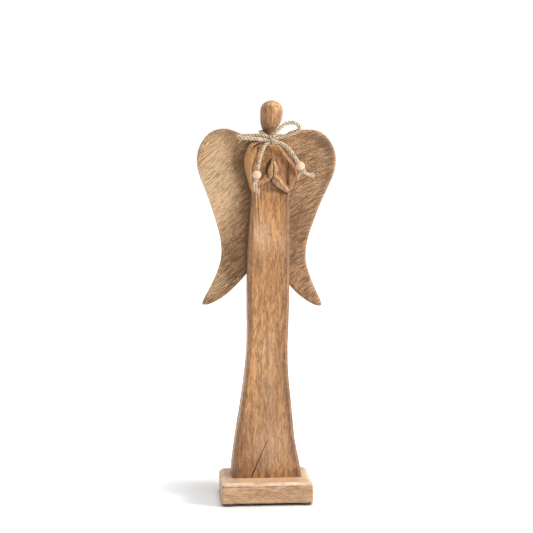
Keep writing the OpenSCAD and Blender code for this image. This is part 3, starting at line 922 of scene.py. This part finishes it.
def carved_relief(x, z):
    """How far the carved front stands out from the plain block, in millimetres."""
    in_chest = eased(z, 347, 353)
    right_arm = eased(-beside(x, z, ARM_RIGHT_INNER[::-1]), -0.4, 3.2) * (z < 402)
    left_arm = eased(beside(x, z, ARM_LEFT_INNER[::-1]), -0.4, 3.0) * (z < 402)
    height = in_chest * (1.0 * np.maximum(right_arm, left_arm) - 1.5 * (1 - np.maximum(right_arm, left_arm)))
    height = height * eased(405 - z, 0, 12)
    for under_line, over_line, lift, slope in (
        (FOREARM_LEFT_UNDER, FOREARM_LEFT_OVER, 0.9, 0.35),
        (FOREARM_RIGHT_UNDER, FOREARM_RIGHT_OVER, 2.6, 0.42),
    ):
        under = np.abs(beside(x, z, under_line))
        over = np.abs(beside(x, z, over_line))
        within = inside(x, z, under_line + over_line[::-1])
        forearm = soft_min(lift + slope * under, -1.2 + 1.7 * over, 0.4)
        forearm = np.where(within, forearm * eased(under, -0.2, 0.5), -9)
        height = np.maximum(height, forearm)
    within = inside(x, z, HAND_LEFT_EDGE + HAND_RIGHT_EDGE[:0:-1])
    left = np.abs(beside(x, z, HAND_LEFT_EDGE))
    right = np.abs(beside(x, z, HAND_RIGHT_EDGE))
    hands = soft_min(soft_min(0.6 + 1.9 * left, 1.0 + 1.1 * right, 0.5), 5.4 + 0 * x, 0.5)
    height = np.maximum(height, np.where(within, hands, -9))
    height = height + cut(x, z, HAND_CREASE, 1.1, 2.2)
    height = height + cut(x, z, HAND_LEFT_EDGE[1:-1], 1.5, 1.9)
    height = height + cut(x, z, ARM_RIGHT_INNER, 1.4, 0.9) + cut(x, z, ARM_LEFT_INNER, 1.3, 0.8)
    height = height + cut(x, z, SHOULDER_LEFT_ARCH, 1.7, 2.4) + cut(x, z, SHOULDER_RIGHT_ARCH, 1.1, 0.6)
    below = inside(x, z, FOREARM_RIGHT_UNDER + [(27, 330), (2, 330)])
    dip = np.exp(-np.abs(beside(x, z, FOREARM_RIGHT_UNDER)) / 4.5)
    return height - 1.3 * dip * below


def blurred(grid, rows, cols):
    """The grid averaged over that many rows and columns each way."""
    for axis, reach in ((0, rows), (1, cols)):
        pad = [(0, 0), (0, 0)]
        pad[axis] = (reach + 1, reach)
        total = np.cumsum(np.pad(grid, pad, mode="edge"), axis=axis)
        width = 2 * reach + 1
        grid = (
            (total[width:] - total[:-width]) / width if axis == 0
            else (total[:, width:] - total[:, :-width]) / width
        )
    return grid


FRONT_COLUMNS = 180
BEVEL_STEPS = 7
SIDE_STEPS = 16
BACK_STEPS = 30


def body_ring(left, right, front, back, bevel, roundness):
    """Points round the block at one level: front, right side, back and left side."""
    half_x, half_y = (right - left) / 2, (back - front) / 2
    mid_x, mid_y = (left + right) / 2, (front + back) / 2
    heel = 3.0
    s = np.linspace(0, 1, FRONT_COLUMNS)
    parts = [np.column_stack([left + bevel + (right - left - 2 * bevel) * s, np.full(len(s), front)])]
    s = np.linspace(0, 1, BEVEL_STEPS + 1)[1:]
    parts.append(np.column_stack([right - bevel + bevel * s, front + bevel * s]))
    s = np.linspace(0, 1, SIDE_STEPS + 1)[1:]
    parts.append(np.column_stack([np.full(len(s), right), front + bevel + (back - heel - front - bevel) * s]))
    turn = np.linspace(0, math.pi / 2, 6)[1:]
    parts.append(np.column_stack([right - heel + heel * np.cos(turn), back - heel + heel * np.sin(turn)]))
    s = np.linspace(0, 1, BACK_STEPS + 1)[1:]
    parts.append(np.column_stack([right - heel + (left - right + 2 * heel) * s, np.full(len(s), back)]))
    parts.append(np.column_stack([left + heel - heel * np.sin(turn), back - heel + heel * np.cos(turn)]))
    s = np.linspace(0, 1, SIDE_STEPS + 1)[1:]
    parts.append(np.column_stack([np.full(len(s), left), back - heel + (front + bevel - back + heel) * s]))
    s = np.linspace(0, 1, BEVEL_STEPS + 1)[1:-1]
    parts.append(np.column_stack([left + bevel * s, front + bevel - bevel * s]))
    ring = np.vstack(parts)
    way = np.column_stack([(ring[:, 0] - mid_x) / half_x, (ring[:, 1] - mid_y) / half_y])
    oval = way / np.linalg.norm(way, axis=1, keepdims=True)
    oval = np.column_stack([mid_x + oval[:, 0] * half_x, mid_y + oval[:, 1] * half_y])
    return ring + (oval - ring) * roundness


def make_body():
    levels = np.concatenate([
        [FOOT_Z, FOOT_Z + 0.4], np.arange(FOOT_Z + 0.9, FOOT_Z + 48, 0.6),
        np.arange(FOOT_Z + 48, WAIST_Z - 7, 2.0), np.arange(WAIST_Z - 7, NECK_Z - 2.2, 0.42),
    ])
    mid_y = (body_low[1] + body_high[1]) / 2
    sides = []
    for z in levels:
        row = max(z, FOOT_Z + 0.3)
        left = hit(body_tree, (-150, mid_y, row), (1, 0, 0))
        right = hit(body_tree, (150, mid_y, row), (-1, 0, 0))
        sides.append((left[0], right[0]))
    left, right = np.array(sides).T
    front = along_points(levels, [
        (26, -14), (60, -13), (140, -12.2), (230, -12), (330, -11.4), (350, -11.2), (366, -12.2),
        (380, -11), (388, -9.6), (394, -7.4), (399, -4.9), (403, -2.6), (405, -1.2),
    ])
    back = along_points(levels, [(26, 24), (386, 24), (394, 21), (400, 17.5), (405, 13)])
    bevel = along_points(levels, [(26, 3.6), (200, 3.2), (340, 3.0), (352, 2.2), (405, 1.6)])
    round_by = along_points(levels, [(26, 0), (344, 0), (358, 0.28), (376, 0.5), (392, 0.62), (405, 0.9)])
    rings = []
    for k, z in enumerate(levels):
        ring = body_ring(left[k], right[k], front[k], back[k], bevel[k], round_by[k])
        rings.append(np.column_stack([ring, np.full(len(ring), z)]))
    grid = np.array(rings)
    count = grid.shape[1]
    x, z = grid[:, :FRONT_COLUMNS, 0], grid[:, :FRONT_COLUMNS, 2]
    relief = carved_relief(x, z)
    crack_far = np.abs(beside(x, z, CRACK))
    crack_width = along_points(z, [(26, 0.5), (33, 1.0), (38, 0.85), (43, 0.5), (55, 0.34), (70, 0.2)])
    crack = np.clip(1 - crack_far / crack_width, 0, 1)
    relief = relief - crack * 2.6
    flutes = 0.35 * np.sin(x / 2.3 + 0.8) * eased(-x, 20, 30) * eased(120 - z, 0, 60)
    folds = 0.38 * np.sin(2 * math.pi * (x + 0.05 * (z - 330)) / 3.9)
    folds = folds * eased(x, -21, -17) * eased(-6 - x, 0, 5) * eased(z, 296, 330) * eased(358 - z, 0, 8)
    bands = 0.12 * np.sin(2 * math.pi * x / 9 + 1) * eased(330 - z, 0, 60)
    flutes = flutes + folds + bands
    edge_share = np.linspace(0, 1, FRONT_COLUMNS)
    fade = eased(edge_share, 0, 0.035) * eased(1 - edge_share, 0, 0.035)
    relief = (relief + flutes) * fade[None, :]
    grid[:, :FRONT_COLUMNS, 1] -= relief
    flat = grid.reshape(-1, 3)
    outward = flat - np.column_stack([
        np.repeat((left + right) / 2, count), np.repeat((front + back) / 2, count), flat[:, 2]
    ])
    chips = ripple(flat * (1, 1, 0.35), 7, 0.22, 8) + ripple(flat * (1, 1, 0.3), 2.6, 0.09, 9)
    keep_back = flat[:, 1] < 22
    flat = flat - unit(outward) * ((chips + 0.25).clip(0) * keep_back)[:, None]
    dark_wax_and_shade = np.zeros((len(levels), count))
    lifted = np.zeros((len(levels), count))
    cavity = blurred(relief, 4, 5) - relief
    dark_wax_and_shade[:, :FRONT_COLUMNS] = np.clip((cavity - 0.10) * 0.9, 0, 0.85)
    dark_wax_and_shade[:, :FRONT_COLUMNS] = np.maximum(dark_wax_and_shade[:, :FRONT_COLUMNS], np.clip(crack * 2.5, 0, 1))
    # Dark lines along the cuts: wax, with painted shade under the forearms and in the recess beside the left
    # hand.
    for line, width, share in (
        (FOREARM_RIGHT_UNDER, 1.3, 1.0), (HAND_LEFT_EDGE[1:-1], 1.5, 0.85), (HAND_CREASE, 0.8, 0.75),
        (SHOULDER_LEFT_ARCH, 1.1, 0.95), (SHOULDER_RIGHT_ARCH, 1.2, 0.6),
        (ARM_RIGHT_INNER, 1.3, 0.6), (ARM_LEFT_INNER, 1.4, 0.6),
        (FOREARM_LEFT_OVER[:3], 1.3, 0.6), (FOREARM_LEFT_UNDER, 1.0, 0.55),
    ):
        wax = share * np.exp(-(beside(x, z, line) / width) ** 2)
        dark_wax_and_shade[:, :FRONT_COLUMNS] = np.maximum(dark_wax_and_shade[:, :FRONT_COLUMNS], wax)
    # Paler on convex edges, where the wood has wear, and in the patches of painted light.
    painted_light_patches = sum(share * spot(x, z, at, size, turn) for share, at, size, turn in BODY_PAINTED_LIGHT)
    lifted[:, :FRONT_COLUMNS] = np.clip(np.clip(-(cavity + 0.12) * 0.6, 0, 0.55) + painted_light_patches, 0, 0.7)
    stain_and_shade = np.zeros((len(levels), count))
    uneven = (1 + 0.6 * ripple(flat * (0.5, 0.5, 0.25), 6, 1.0, 10)).clip(0).reshape(len(levels), count)
    # Darker towards both front edges, the right one more.
    edges = 0.55 * eased(edge_share, 0.88, 1.0) + 0.35 * eased(1 - edge_share, 0.93, 1.0)
    stain_and_shade[:, :FRONT_COLUMNS] = np.clip(
        sum(share * spot(x, z, at, size, turn) for share, at, size, turn in BODY_STAINS)
        + edges[None, :] * uneven[:, :FRONT_COLUMNS] * eased(NECK_Z - 8 - z, 0, 30), 0, 1
    )
    for line in (FOREARM_RIGHT_UNDER, FOREARM_LEFT_UNDER):
        lifted[:, :FRONT_COLUMNS] *= 1 - np.exp(-(beside(x, z, line) / 2.2) ** 2)
    ring_at = np.arange(count)
    bevel_line = np.zeros(count)
    for corner in (0, FRONT_COLUMNS - 1):
        bevel_line = np.maximum(bevel_line, np.exp(-((ring_at - corner) / 3.0) ** 2))
    robe = (levels < WAIST_Z + 4)[:, None]
    right_bevel = (ring_at >= FRONT_COLUMNS) & (ring_at < FRONT_COLUMNS + BEVEL_STEPS)
    left_bevel = ring_at >= count - BEVEL_STEPS + 1
    # Dark lines along the front's corners and darker bevels on the robe: painted shade on the left, turned
    # away from the key light, and darker wood on the right.
    dark_wax_and_shade = np.maximum(dark_wax_and_shade, (bevel_line * np.where(ring_at < 40, 0.65, 0.5))[None, :] * robe)
    dark_wax_and_shade = np.maximum(dark_wax_and_shade, 0.30 * left_bevel[None, :] * robe)
    dark_wax_and_shade = np.maximum(dark_wax_and_shade, 0.30 * right_bevel[None, :] * robe)
    stain_and_shade = np.maximum(stain_and_shade, 0.4 * right_bevel[None, :] * robe)
    # Painted shade: the left side, turned away from the key light, is darker.
    left_side = (ring_at >= count - BEVEL_STEPS + 1 - SIDE_STEPS) & ~left_bevel
    stain_and_shade = np.maximum(stain_and_shade, 0.35 * left_side[None, :] * robe)
    # Painted shade, with wax, where the block turns back towards the wings.
    turned_back = eased(grid[:, :, 1], 5, 17) * eased(levels, WAIST_Z - 10, WAIST_Z + 10)[:, None]
    dark_wax_and_shade = np.maximum(dark_wax_and_shade, 0.8 * turned_back * (grid[:, :, 1] < 23.5))
    top = grid[-1]
    centre = np.array([NECK[0], (neck_low[1] + neck_high[1]) / 2 / MM, NECK_Z])
    caps = [flat]
    for share, level in ((0.85, NECK_Z - 1.2), (0.6, NECK_Z - 0.5), (0.3, NECK_Z - 0.1)):
        ring = centre + (top - centre) * share
        ring[:, 2] = level
        caps.append(ring)
    points = np.vstack(caps)
    rows = len(levels) + 3
    faces = ring_faces(rows, count)
    faces.append(tuple(range(count))[::-1])
    faces.append(tuple((rows - 1) * count + k for k in range(count)))
    pad = np.zeros(3 * count)
    body = build(
        "body_carved", points, faces, body_wood, "root",
        {
            "wax_and_shade": np.concatenate([dark_wax_and_shade.ravel(), pad]), "wear_light_and_shade": np.concatenate([lifted.ravel(), pad]),
            "stain_light_and_shade": np.concatenate([stain_and_shade.ravel(), pad]),
        },
    )
    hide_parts("body")
    return body


body = make_body()

# ---------------------------------------------------------------------------
# Head: an egg turned from one piece with its neck, without a face. A beech
# dowel, hidden inside, pins the neck to the body.
# ---------------------------------------------------------------------------
head_wood = wood_material(
    "head_mango", rgb(0.70, 0.38, 0.145), rgb(0.28, 0.13, 0.045), rgb(0.11, 0.045, 0.017)
)


HEAD_SHIFT = 1.0


def make_head():
    low, high = (np.array(corner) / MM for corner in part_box("head"))
    tall = high[2] - low[2]
    wide = (high[0] - low[0]) / 2
    mid_x, mid_y = (low[0] + high[0]) / 2 + HEAD_SHIFT, (low[1] + high[1]) / 2
    steps = 90
    turn = np.linspace(0, math.pi, steps)
    share = (1 - np.cos(turn)) / 2
    levels = low[2] + tall * share
    size = along_points(share, [
        (0, 0.51), (0.12, 0.5), (0.2, 0.5), (0.26, 0.61),
        (0.32, 0.73), (0.42, 0.88), (0.5, 0.945), (0.6, 0.985),
        (0.68, 1.0), (0.76, 0.985), (0.84, 0.91), (0.89, 0.81), (0.93, 0.68), (0.965, 0.49),
        (0.985, 0.32), (0.995, 0.18), (1, 0.02),
    ])
    size = blurred(size[:, None].repeat(3, axis=1), 2, 0)[:, 0]
    size[-1] = 0.02
    shift = along_points(share, [(0, -0.4), (0.15, -2.2), (0.25, -2.7), (0.4, -1.3), (0.6, 0), (1, -0.1)])
    shift = blurred(shift[:, None].repeat(3, axis=1), 4, 0)[:, 0]
    around = np.linspace(0, 2 * math.pi, 96, endpoint=False)
    rings = [
        np.column_stack([
            mid_x + dx + wide * r * np.cos(around), mid_y + wide * r * np.sin(around),
            np.full(len(around), z),
        ])
        for z, r, dx in zip(levels, size, shift)
    ]
    points = np.vstack(rings)
    outward = points - (mid_x, mid_y, 0)
    outward[:, 2] = 0
    points = points + unit(outward) * ripple(points, 6, 0.10, 14)[:, None]
    pore = np.linalg.norm(points - (mid_x + 0.9, mid_y - wide, low[2] + tall * 0.685), axis=1)
    pits = np.clip(1 - pore / 0.9, 0, 1)
    points[:, 1] += pits * 0.5
    faces = ring_faces(steps, len(around))
    faces.append(tuple(range(len(around)))[::-1])
    faces.append(tuple((steps - 1) * len(around) + k for k in range(len(around))))
    # Painted shade: the left side and the lower part are darker, over a faint even stain.
    left_side = eased(mid_x - points[:, 0], -2, 9)
    lower = eased(low[2] + tall * 0.55 - points[:, 2], -6, 10)
    head = build(
        "head_turned", points, faces, head_wood, "root",
        {
            "wax_and_shade": np.clip(pits * 1.5, 0, 0.9), "wear_light_and_shade": np.zeros(len(points)),
            "stain_light_and_shade": np.clip(0.08 + 0.45 * left_side + 0.3 * lower, 0, 0.85),
        },
    )
    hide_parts("head")
    return head


head = make_head()
dowel_wood = wood_material(
    "dowel_wood", rgb(0.78, 0.60, 0.42), rgb(0.70, 0.51, 0.34), rgb(0.50, 0.34, 0.20)
)
paint_node("neck_dowel", dowel_wood)

# ---------------------------------------------------------------------------
# Wings: two curved boards sawn from mango wood and left rough, so the ridges
# of the saw show with dark wax between them. Each lies in a flat seat on the
# body's back and is held by two countersunk screws.
# They carry the body's painted shadow, painted shade along their rounded edges, and patches of painted light
# and shade.
# ---------------------------------------------------------------------------
WING_EDGE_R = 3.4
SAW_CENTRES = {"left": (-700, 1050), "right": (148, 102)}
SAW_PITCH = {"left": 2.5, "right": 2.3}


def wing_material():
    """Rough-sawn mango: ridges along the saw's marks, with the wax dark between them."""
    material, tree, shader = new_material("wing_mango")
    place = put(tree, "TexCoord").outputs["Object"]
    saw = put(tree, "Attribute", attribute_name="saw").outputs["Vector"]
    furrow = put(tree, "Attribute", attribute_name="furrow").outputs["Fac"]
    stain_light_and_shade = put(tree, "Attribute", attribute_name="stain_light_and_shade").outputs["Fac"]
    wear_light_and_shade = put(tree, "Attribute", attribute_name="wear_light_and_shade").outputs["Fac"]
    scratch = noise(tree, stretched(tree, saw, (0.75, 0.1, 1)), 1.0, 2.0, 0.7)
    speck = noise(tree, stretched(tree, saw, (0.8, 0.45, 1)), 1.0, 2.0, 0.7)
    breaks = between(tree, noise(tree, stretched(tree, saw, (0.4, 0.1, 1)), 1.0, 2.0, 0.6), 0.36, 0.56)
    broad = noise(tree, stretched(tree, saw, (0.12, 0.03, 1)), 1.0, 3.0, 0.6)
    grain = put(tree, "Group", node_tree=WOOD_GRAIN)
    tree.links.new(place, grain.inputs["Place"])
    grain.inputs["Size"].default_value = 1.0
    streaks = between(tree, grain.outputs["Streaks"], 0.36, 0.64)
    tone = maths(tree, "ADD", maths(tree, "MULTIPLY", streaks, 0.12), maths(tree, "MULTIPLY", broad, 0.88))
    colour = blend_colour(
        tree, between(tree, tone, 0.36, 0.62), rgb(0.23, 0.118, 0.052), rgb(0.45, 0.26, 0.128)
    )
    # Dark patches: stains, painted shade and the body's painted shadow; where the share is negative, pale
    # patches of painted light.
    colour = blend_colour(tree, maths(tree, "MAXIMUM", stain_light_and_shade, 0.0), colour, rgb(0.13, 0.072, 0.038))
    pale = maths(tree, "MAXIMUM", maths(tree, "MULTIPLY", stain_light_and_shade, -1.0), 0.0)
    colour = blend_colour(tree, pale, colour, rgb(0.78, 0.53, 0.30))
    deep = maths(tree, "MAXIMUM", between(tree, scratch, 0.47, 0.37), between(tree, speck, 0.40, 0.30))
    broken = maths(tree, "ADD", 0.4, maths(tree, "MULTIPLY", breaks, 0.6))
    dark = maths(tree, "MULTIPLY", furrow, broken, clamp=True)
    dark = maths(tree, "MAXIMUM", dark, maths(tree, "MULTIPLY", deep, 0.6))
    colour = blend_colour(tree, dark, colour, rgb(0.10, 0.052, 0.026))
    ridge = maths(tree, "MULTIPLY", between(tree, scratch, 0.52, 0.62), between(tree, speck, 0.42, 0.58))
    bare = maths(tree, "SUBTRACT", 0.7, maths(tree, "MULTIPLY", stain_light_and_shade, 0.6), clamp=True)
    light = maths(tree, "MULTIPLY", ridge, bare)
    colour = blend_colour(tree, light, colour, rgb(0.78, 0.54, 0.33))
    # Painted shade: darker along the rounded edges.
    colour = blend_colour(tree, maths(tree, "MULTIPLY", wear_light_and_shade, 0.5), colour, rgb(0.16, 0.085, 0.045))
    tree.links.new(colour, shader.inputs["Base Color"])
    shader.inputs["Roughness"].default_value = 0.62
    shader.inputs["Specular IOR Level"].default_value = 0.35
    rough = maths(tree, "ADD", scratch, maths(tree, "MULTIPLY", speck, 0.5))
    height = maths(tree, "ADD", rough, maths(tree, "MULTIPLY", grain.outputs["Height"], 0.4))
    rise = put(tree, "Bump", {"Height": height, "Distance": 0.0003, "Strength": 1.0})
    tree.links.new(rise.outputs["Normal"], shader.inputs["Normal"])
    return material


wing_wood = wing_material()


# Patches on the wings, as share, middle, size and turn: a positive share darkens and a negative one lightens.
# The pale patches on the left wing's outer half are painted light; the dark one beside the body on the left
# wing and the broad dark one over the right wing are painted shade; the others make the wood darker or paler
# in places.
WING_STAINS_LIGHT_AND_SHADE = {
    "left": [
        (-0.8, (-62, 372), (17, 36), -0.35), (-0.65, (-58, 325), (14, 34), -0.3),
        (-0.4, (-44, 330), (12, 40), -0.1), (0.35, (-33, 385), (7, 26), 0.1),
        (0.3, (-52, 415), (22, 4), 0.1), (-0.7, (-60, 240), (16, 12), 0.7),
        (0.25, (-44, 275), (10, 16), 0.1), (-0.45, (-60, 350), (24, 70), -0.2),
    ],
    "right": [
        (0.22, (50, 330), (90, 120), 0.0), (0.6, (68, 398), (16, 7), -0.6), (0.35, (58, 408), (18, 5), -0.2),
        (0.35, (36, 310), (14, 22), 0.0), (-0.18, (48, 372), (20, 22), 0.0),
        (0.3, (72, 372), (5, 22), 0.0), (0.25, (30, 270), (12, 16), 0.4),
    ],
}


# How far out the inner end of the top edge lies at each height
WING_SHOULDERS = {
    "left": [(409.5, 1), (410.2, 14), (411, 24), (412.5, 30), (416, 37), (418, 45)],
    "right": [(406, 1), (408, 12), (410.2, 20), (415.2, 26), (417, 32), (418, 40)],
}


def make_wing(side):
    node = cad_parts["wing_" + side]
    tree = BVHTree.FromObject(node, bpy.context.evaluated_depsgraph_get())
    low, high = (np.array(corner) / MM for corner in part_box("wing_" + side))
    sign = -1 if side == "left" else 1
    mid_y = (low[1] + high[1]) / 2 - 0.6
    levels = np.linspace(low[2] + 0.25, high[2] - 0.15, 440)
    rows = []
    for z in levels:
        outer = hit(tree, (sign * 150, mid_y, z), (-sign, 0, 0))
        inner = hit(tree, (0, mid_y, z), (sign, 0, 0))
        if outer is not None:
            rows.append((z, outer[0], inner[0] if inner is not None else sign * 1.0))
    z_at, outer, inner = np.array(rows).T
    reach = along_points(z_at, WING_SHOULDERS[side])
    inner = sign * np.minimum(np.abs(inner), np.where(z_at < 394, 200, reach))
    columns = 190
    u = np.linspace(0, 1, columns)
    u = u - 0.85 * np.sin(2 * math.pi * u) / (2 * math.pi) * 0.9
    x = outer[:, None] + (inner - outer)[:, None] * u[None, :]
    z = np.repeat(z_at[:, None], columns, axis=1)
    ring = np.vstack([
        np.column_stack([outer, z_at]), np.column_stack([inner, z_at])[::-1],
    ])
    edge = np.full(x.shape, 1e9)
    for (ax, az), (bx, bz) in zip(ring, np.roll(ring, -1, axis=0)):
        wx, wz = bx - ax, bz - az
        t = np.clip(((x - ax) * wx + (z - az) * wz) / max(wx * wx + wz * wz, 1e-9), 0, 1)
        edge = np.minimum(edge, np.hypot(x - ax - t * wx, z - az - t * wz))
    return side, node, tree, low, high, x, z, edge


def wing_surfaces(side, tree, low, high, x, z, edge):
    """The front and back of the board, read off the plain shape as smooth fitted surfaces, which are rounded
    and sawn afterwards.
    """
    rows, columns = x.shape
    coarse_rows = np.linspace(0, rows - 1, 60).astype(int)
    coarse_columns = np.linspace(0, columns - 1, 40).astype(int)
    surfaces = []
    for way, start in ((1, low[1] - 30), (-1, high[1] + 30)):
        found = np.full((len(coarse_rows), len(coarse_columns)), np.nan)
        for a, r in enumerate(coarse_rows):
            for b, c in enumerate(coarse_columns):
                if edge[r, c] > 5.0:
                    point = hit(tree, (x[r, c], start, z[r, c]), (0, way, 0))
                    if point is not None:
                        found[a, b] = point[1]
        coarse = np.ix_(coarse_rows, coarse_columns)
        surfaces.append((x[coarse], z[coarse], found))
    fitted = []
    for cx, cz, cy in surfaces:
        good = ~np.isnan(cy)
        px, pz, py = cx[good], cz[good], cy[good]
        good = np.abs(py - np.median(py)) < 12
        gx, gz = px[good], pz[good]
        terms = np.column_stack([np.ones(good.sum()), gx, gz, gx**2, gx * gz, gz**2])
        answer = np.linalg.lstsq(terms, py[good], rcond=None)[0]
        flat_part = answer[0] + answer[1] * x + answer[2] * z
        fitted.append(flat_part + answer[3] * x**2 + answer[4] * x * z + answer[5] * z**2)
    return fitted


# Painted shadow of the body on the wings beside it, as a share and a spread in rows and columns
BODY_SHADOW_SHARE = {"left": 0.92, "right": 0.95}
BODY_SHADOW_CELLS = {"left": (9, 11), "right": (4, 5)}

for side in ("left", "right"):
    side, node, tree, low, high, x, z, edge = make_wing(side)
    front, back = wing_surfaces(side, tree, low, high, x, z, edge)
    seat = np.maximum(front, 24.0) - front
    near_body = eased(28 - np.abs(x), 0, 2)
    front = front + seat * near_body
    near = np.clip(edge, 0, WING_EDGE_R)
    fall = WING_EDGE_R - np.sqrt(np.clip(WING_EDGE_R**2 - (WING_EDGE_R - near) ** 2, 0, None))
    cx, cz = SAW_CENTRES[side]
    swing = np.hypot(x - cx, z - cz)
    along = np.arctan2(z - cz, x - cx) * swing
    flat = np.column_stack([x.ravel(), np.zeros(x.size), z.ravel()])
    wander = ripple(flat, 16, 0.9, 51).reshape(x.shape) + ripple(flat, 5, 0.35, 52).reshape(x.shape)
    phase = 2 * math.pi * (swing + wander) / SAW_PITCH[side]
    pressure = ripple(flat, 22, 0.35, 53).reshape(x.shape) + ripple(flat, 6, 0.2, 54).reshape(x.shape)
    strength = np.clip(0.9 + pressure, 0.15, 1.3)
    waves = 0.5 + 0.5 * np.sin(phase) + 0.22 * np.sin(phase * 0.41 + 1)
    calm = eased(edge, 0.3, 2.5)
    depth = 0.36 * strength * waves * calm
    front_y = front + fall + depth
    back_y = back - fall - depth
    furrow = np.clip((waves - 0.5) * 1.9, 0, 1) * np.clip(strength, 0, 1) * calm
    stain_light_and_shade = sum(
        share * spot(x, z, at, size, turn) for share, at, size, turn in WING_STAINS_LIGHT_AND_SHADE[side]
    )
    # Painted shade along the rounded edges, darkest at the rim.
    wear_light_and_shade = np.exp(-(edge / 0.9) ** 2)
    # Painted shadow of the body on each wing's front: full where the body hides it, fading out beside it.
    hidden = np.array([
        hit(body_tree, (a, -60, b), (0, 1, 0)) is not None for a, b in zip(x.ravel(), z.ravel())
    ], float).reshape(x.shape)
    beside_body = blurred(blurred(hidden, *BODY_SHADOW_CELLS[side]), *BODY_SHADOW_CELLS[side])
    body_shadow = np.clip(beside_body * 2.0, 0, 1) ** 0.8 * BODY_SHADOW_SHARE[side]
    front_stain_and_shadow = np.where(hidden > 0.5, BODY_SHADOW_SHARE[side], stain_light_and_shade * (1 - body_shadow) + body_shadow)
    rows, columns = x.shape
    front_points = np.stack([x, front_y, z], axis=-1).reshape(-1, 3)
    back_points = np.stack([x, back_y, z], axis=-1).reshape(-1, 3)
    index = np.arange(rows * columns).reshape(rows, columns)
    a, b = index[:-1, :-1].ravel(), index[:-1, 1:].ravel()
    c, d = index[1:, 1:].ravel(), index[1:, :-1].ravel()
    offset = rows * columns
    front_quads = np.stack([a, b, c, d], axis=1)
    back_quads = np.stack([d, c, b, a], axis=1) + offset
    rim = np.concatenate([index[0, :], index[1:, -1], index[-1, -2::-1], index[-2:0:-1, 0]])
    after = np.roll(rim, -1)
    rim_quads = np.stack([rim, rim + offset, after + offset, after], axis=1)
    quads = np.vstack([front_quads, back_quads, rim_quads])
    if side == "right":
        quads = quads[:, ::-1]
    saw = np.stack([swing + wander, along, np.zeros(x.shape)], axis=-1).reshape(-1, 3)
    wing = build(
        "wing_%s_board" % side, np.vstack([front_points, back_points]), quads.tolist(), wing_wood,
        "root",
        {"furrow": np.tile(furrow.ravel(), 2), "stain_light_and_shade": np.concatenate([front_stain_and_shadow.ravel(), stain_light_and_shade.ravel()]),
            "wear_light_and_shade": np.tile(wear_light_and_shade.ravel(), 2), "saw": np.tile(saw, (2, 1))},
    )
    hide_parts("wing_" + side)
    holes = []
    for level in ("lower", "upper"):
        middle = node_middle("wing_screw_%s_%s" % (side, level))
        head_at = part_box("wing_screw_%s_%s" % (side, level))[1][1] / MM
        holes.append((middle[0], head_at, middle[2]))
    drill(wing, holes, 1.86, 3.62, -30, 6, -1.9, 0.0, "Y")

# ---------------------------------------------------------------------------
# Screws: zinc-plated countersunk wood screws, two up through the plinth and
# two through each wing. They keep their CAD shape.
# ---------------------------------------------------------------------------


def steel_material():
    material, tree, shader = new_material("screw_steel")
    place = put(tree, "TexCoord").outputs["Object"]
    tarnish = noise(tree, place, 900.0, 3.0, 0.6)
    dull = between(tree, tarnish, 0.35, 0.7)
    colour = blend_colour(tree, dull, rgb(0.60, 0.58, 0.53), rgb(0.36, 0.34, 0.31))
    tree.links.new(colour, shader.inputs["Base Color"])
    shader.inputs["Metallic"].default_value = 1.0
    roughness = maths(tree, "ADD", 0.28, maths(tree, "MULTIPLY", tarnish, 0.3))
    tree.links.new(roughness, shader.inputs["Roughness"])
    return material


steel = steel_material()
for screw in (
    "base_screw_left", "base_screw_right", "wing_screw_left_lower", "wing_screw_left_upper",
    "wing_screw_right_lower", "wing_screw_right_upper",
):
    paint_node(screw, steel)
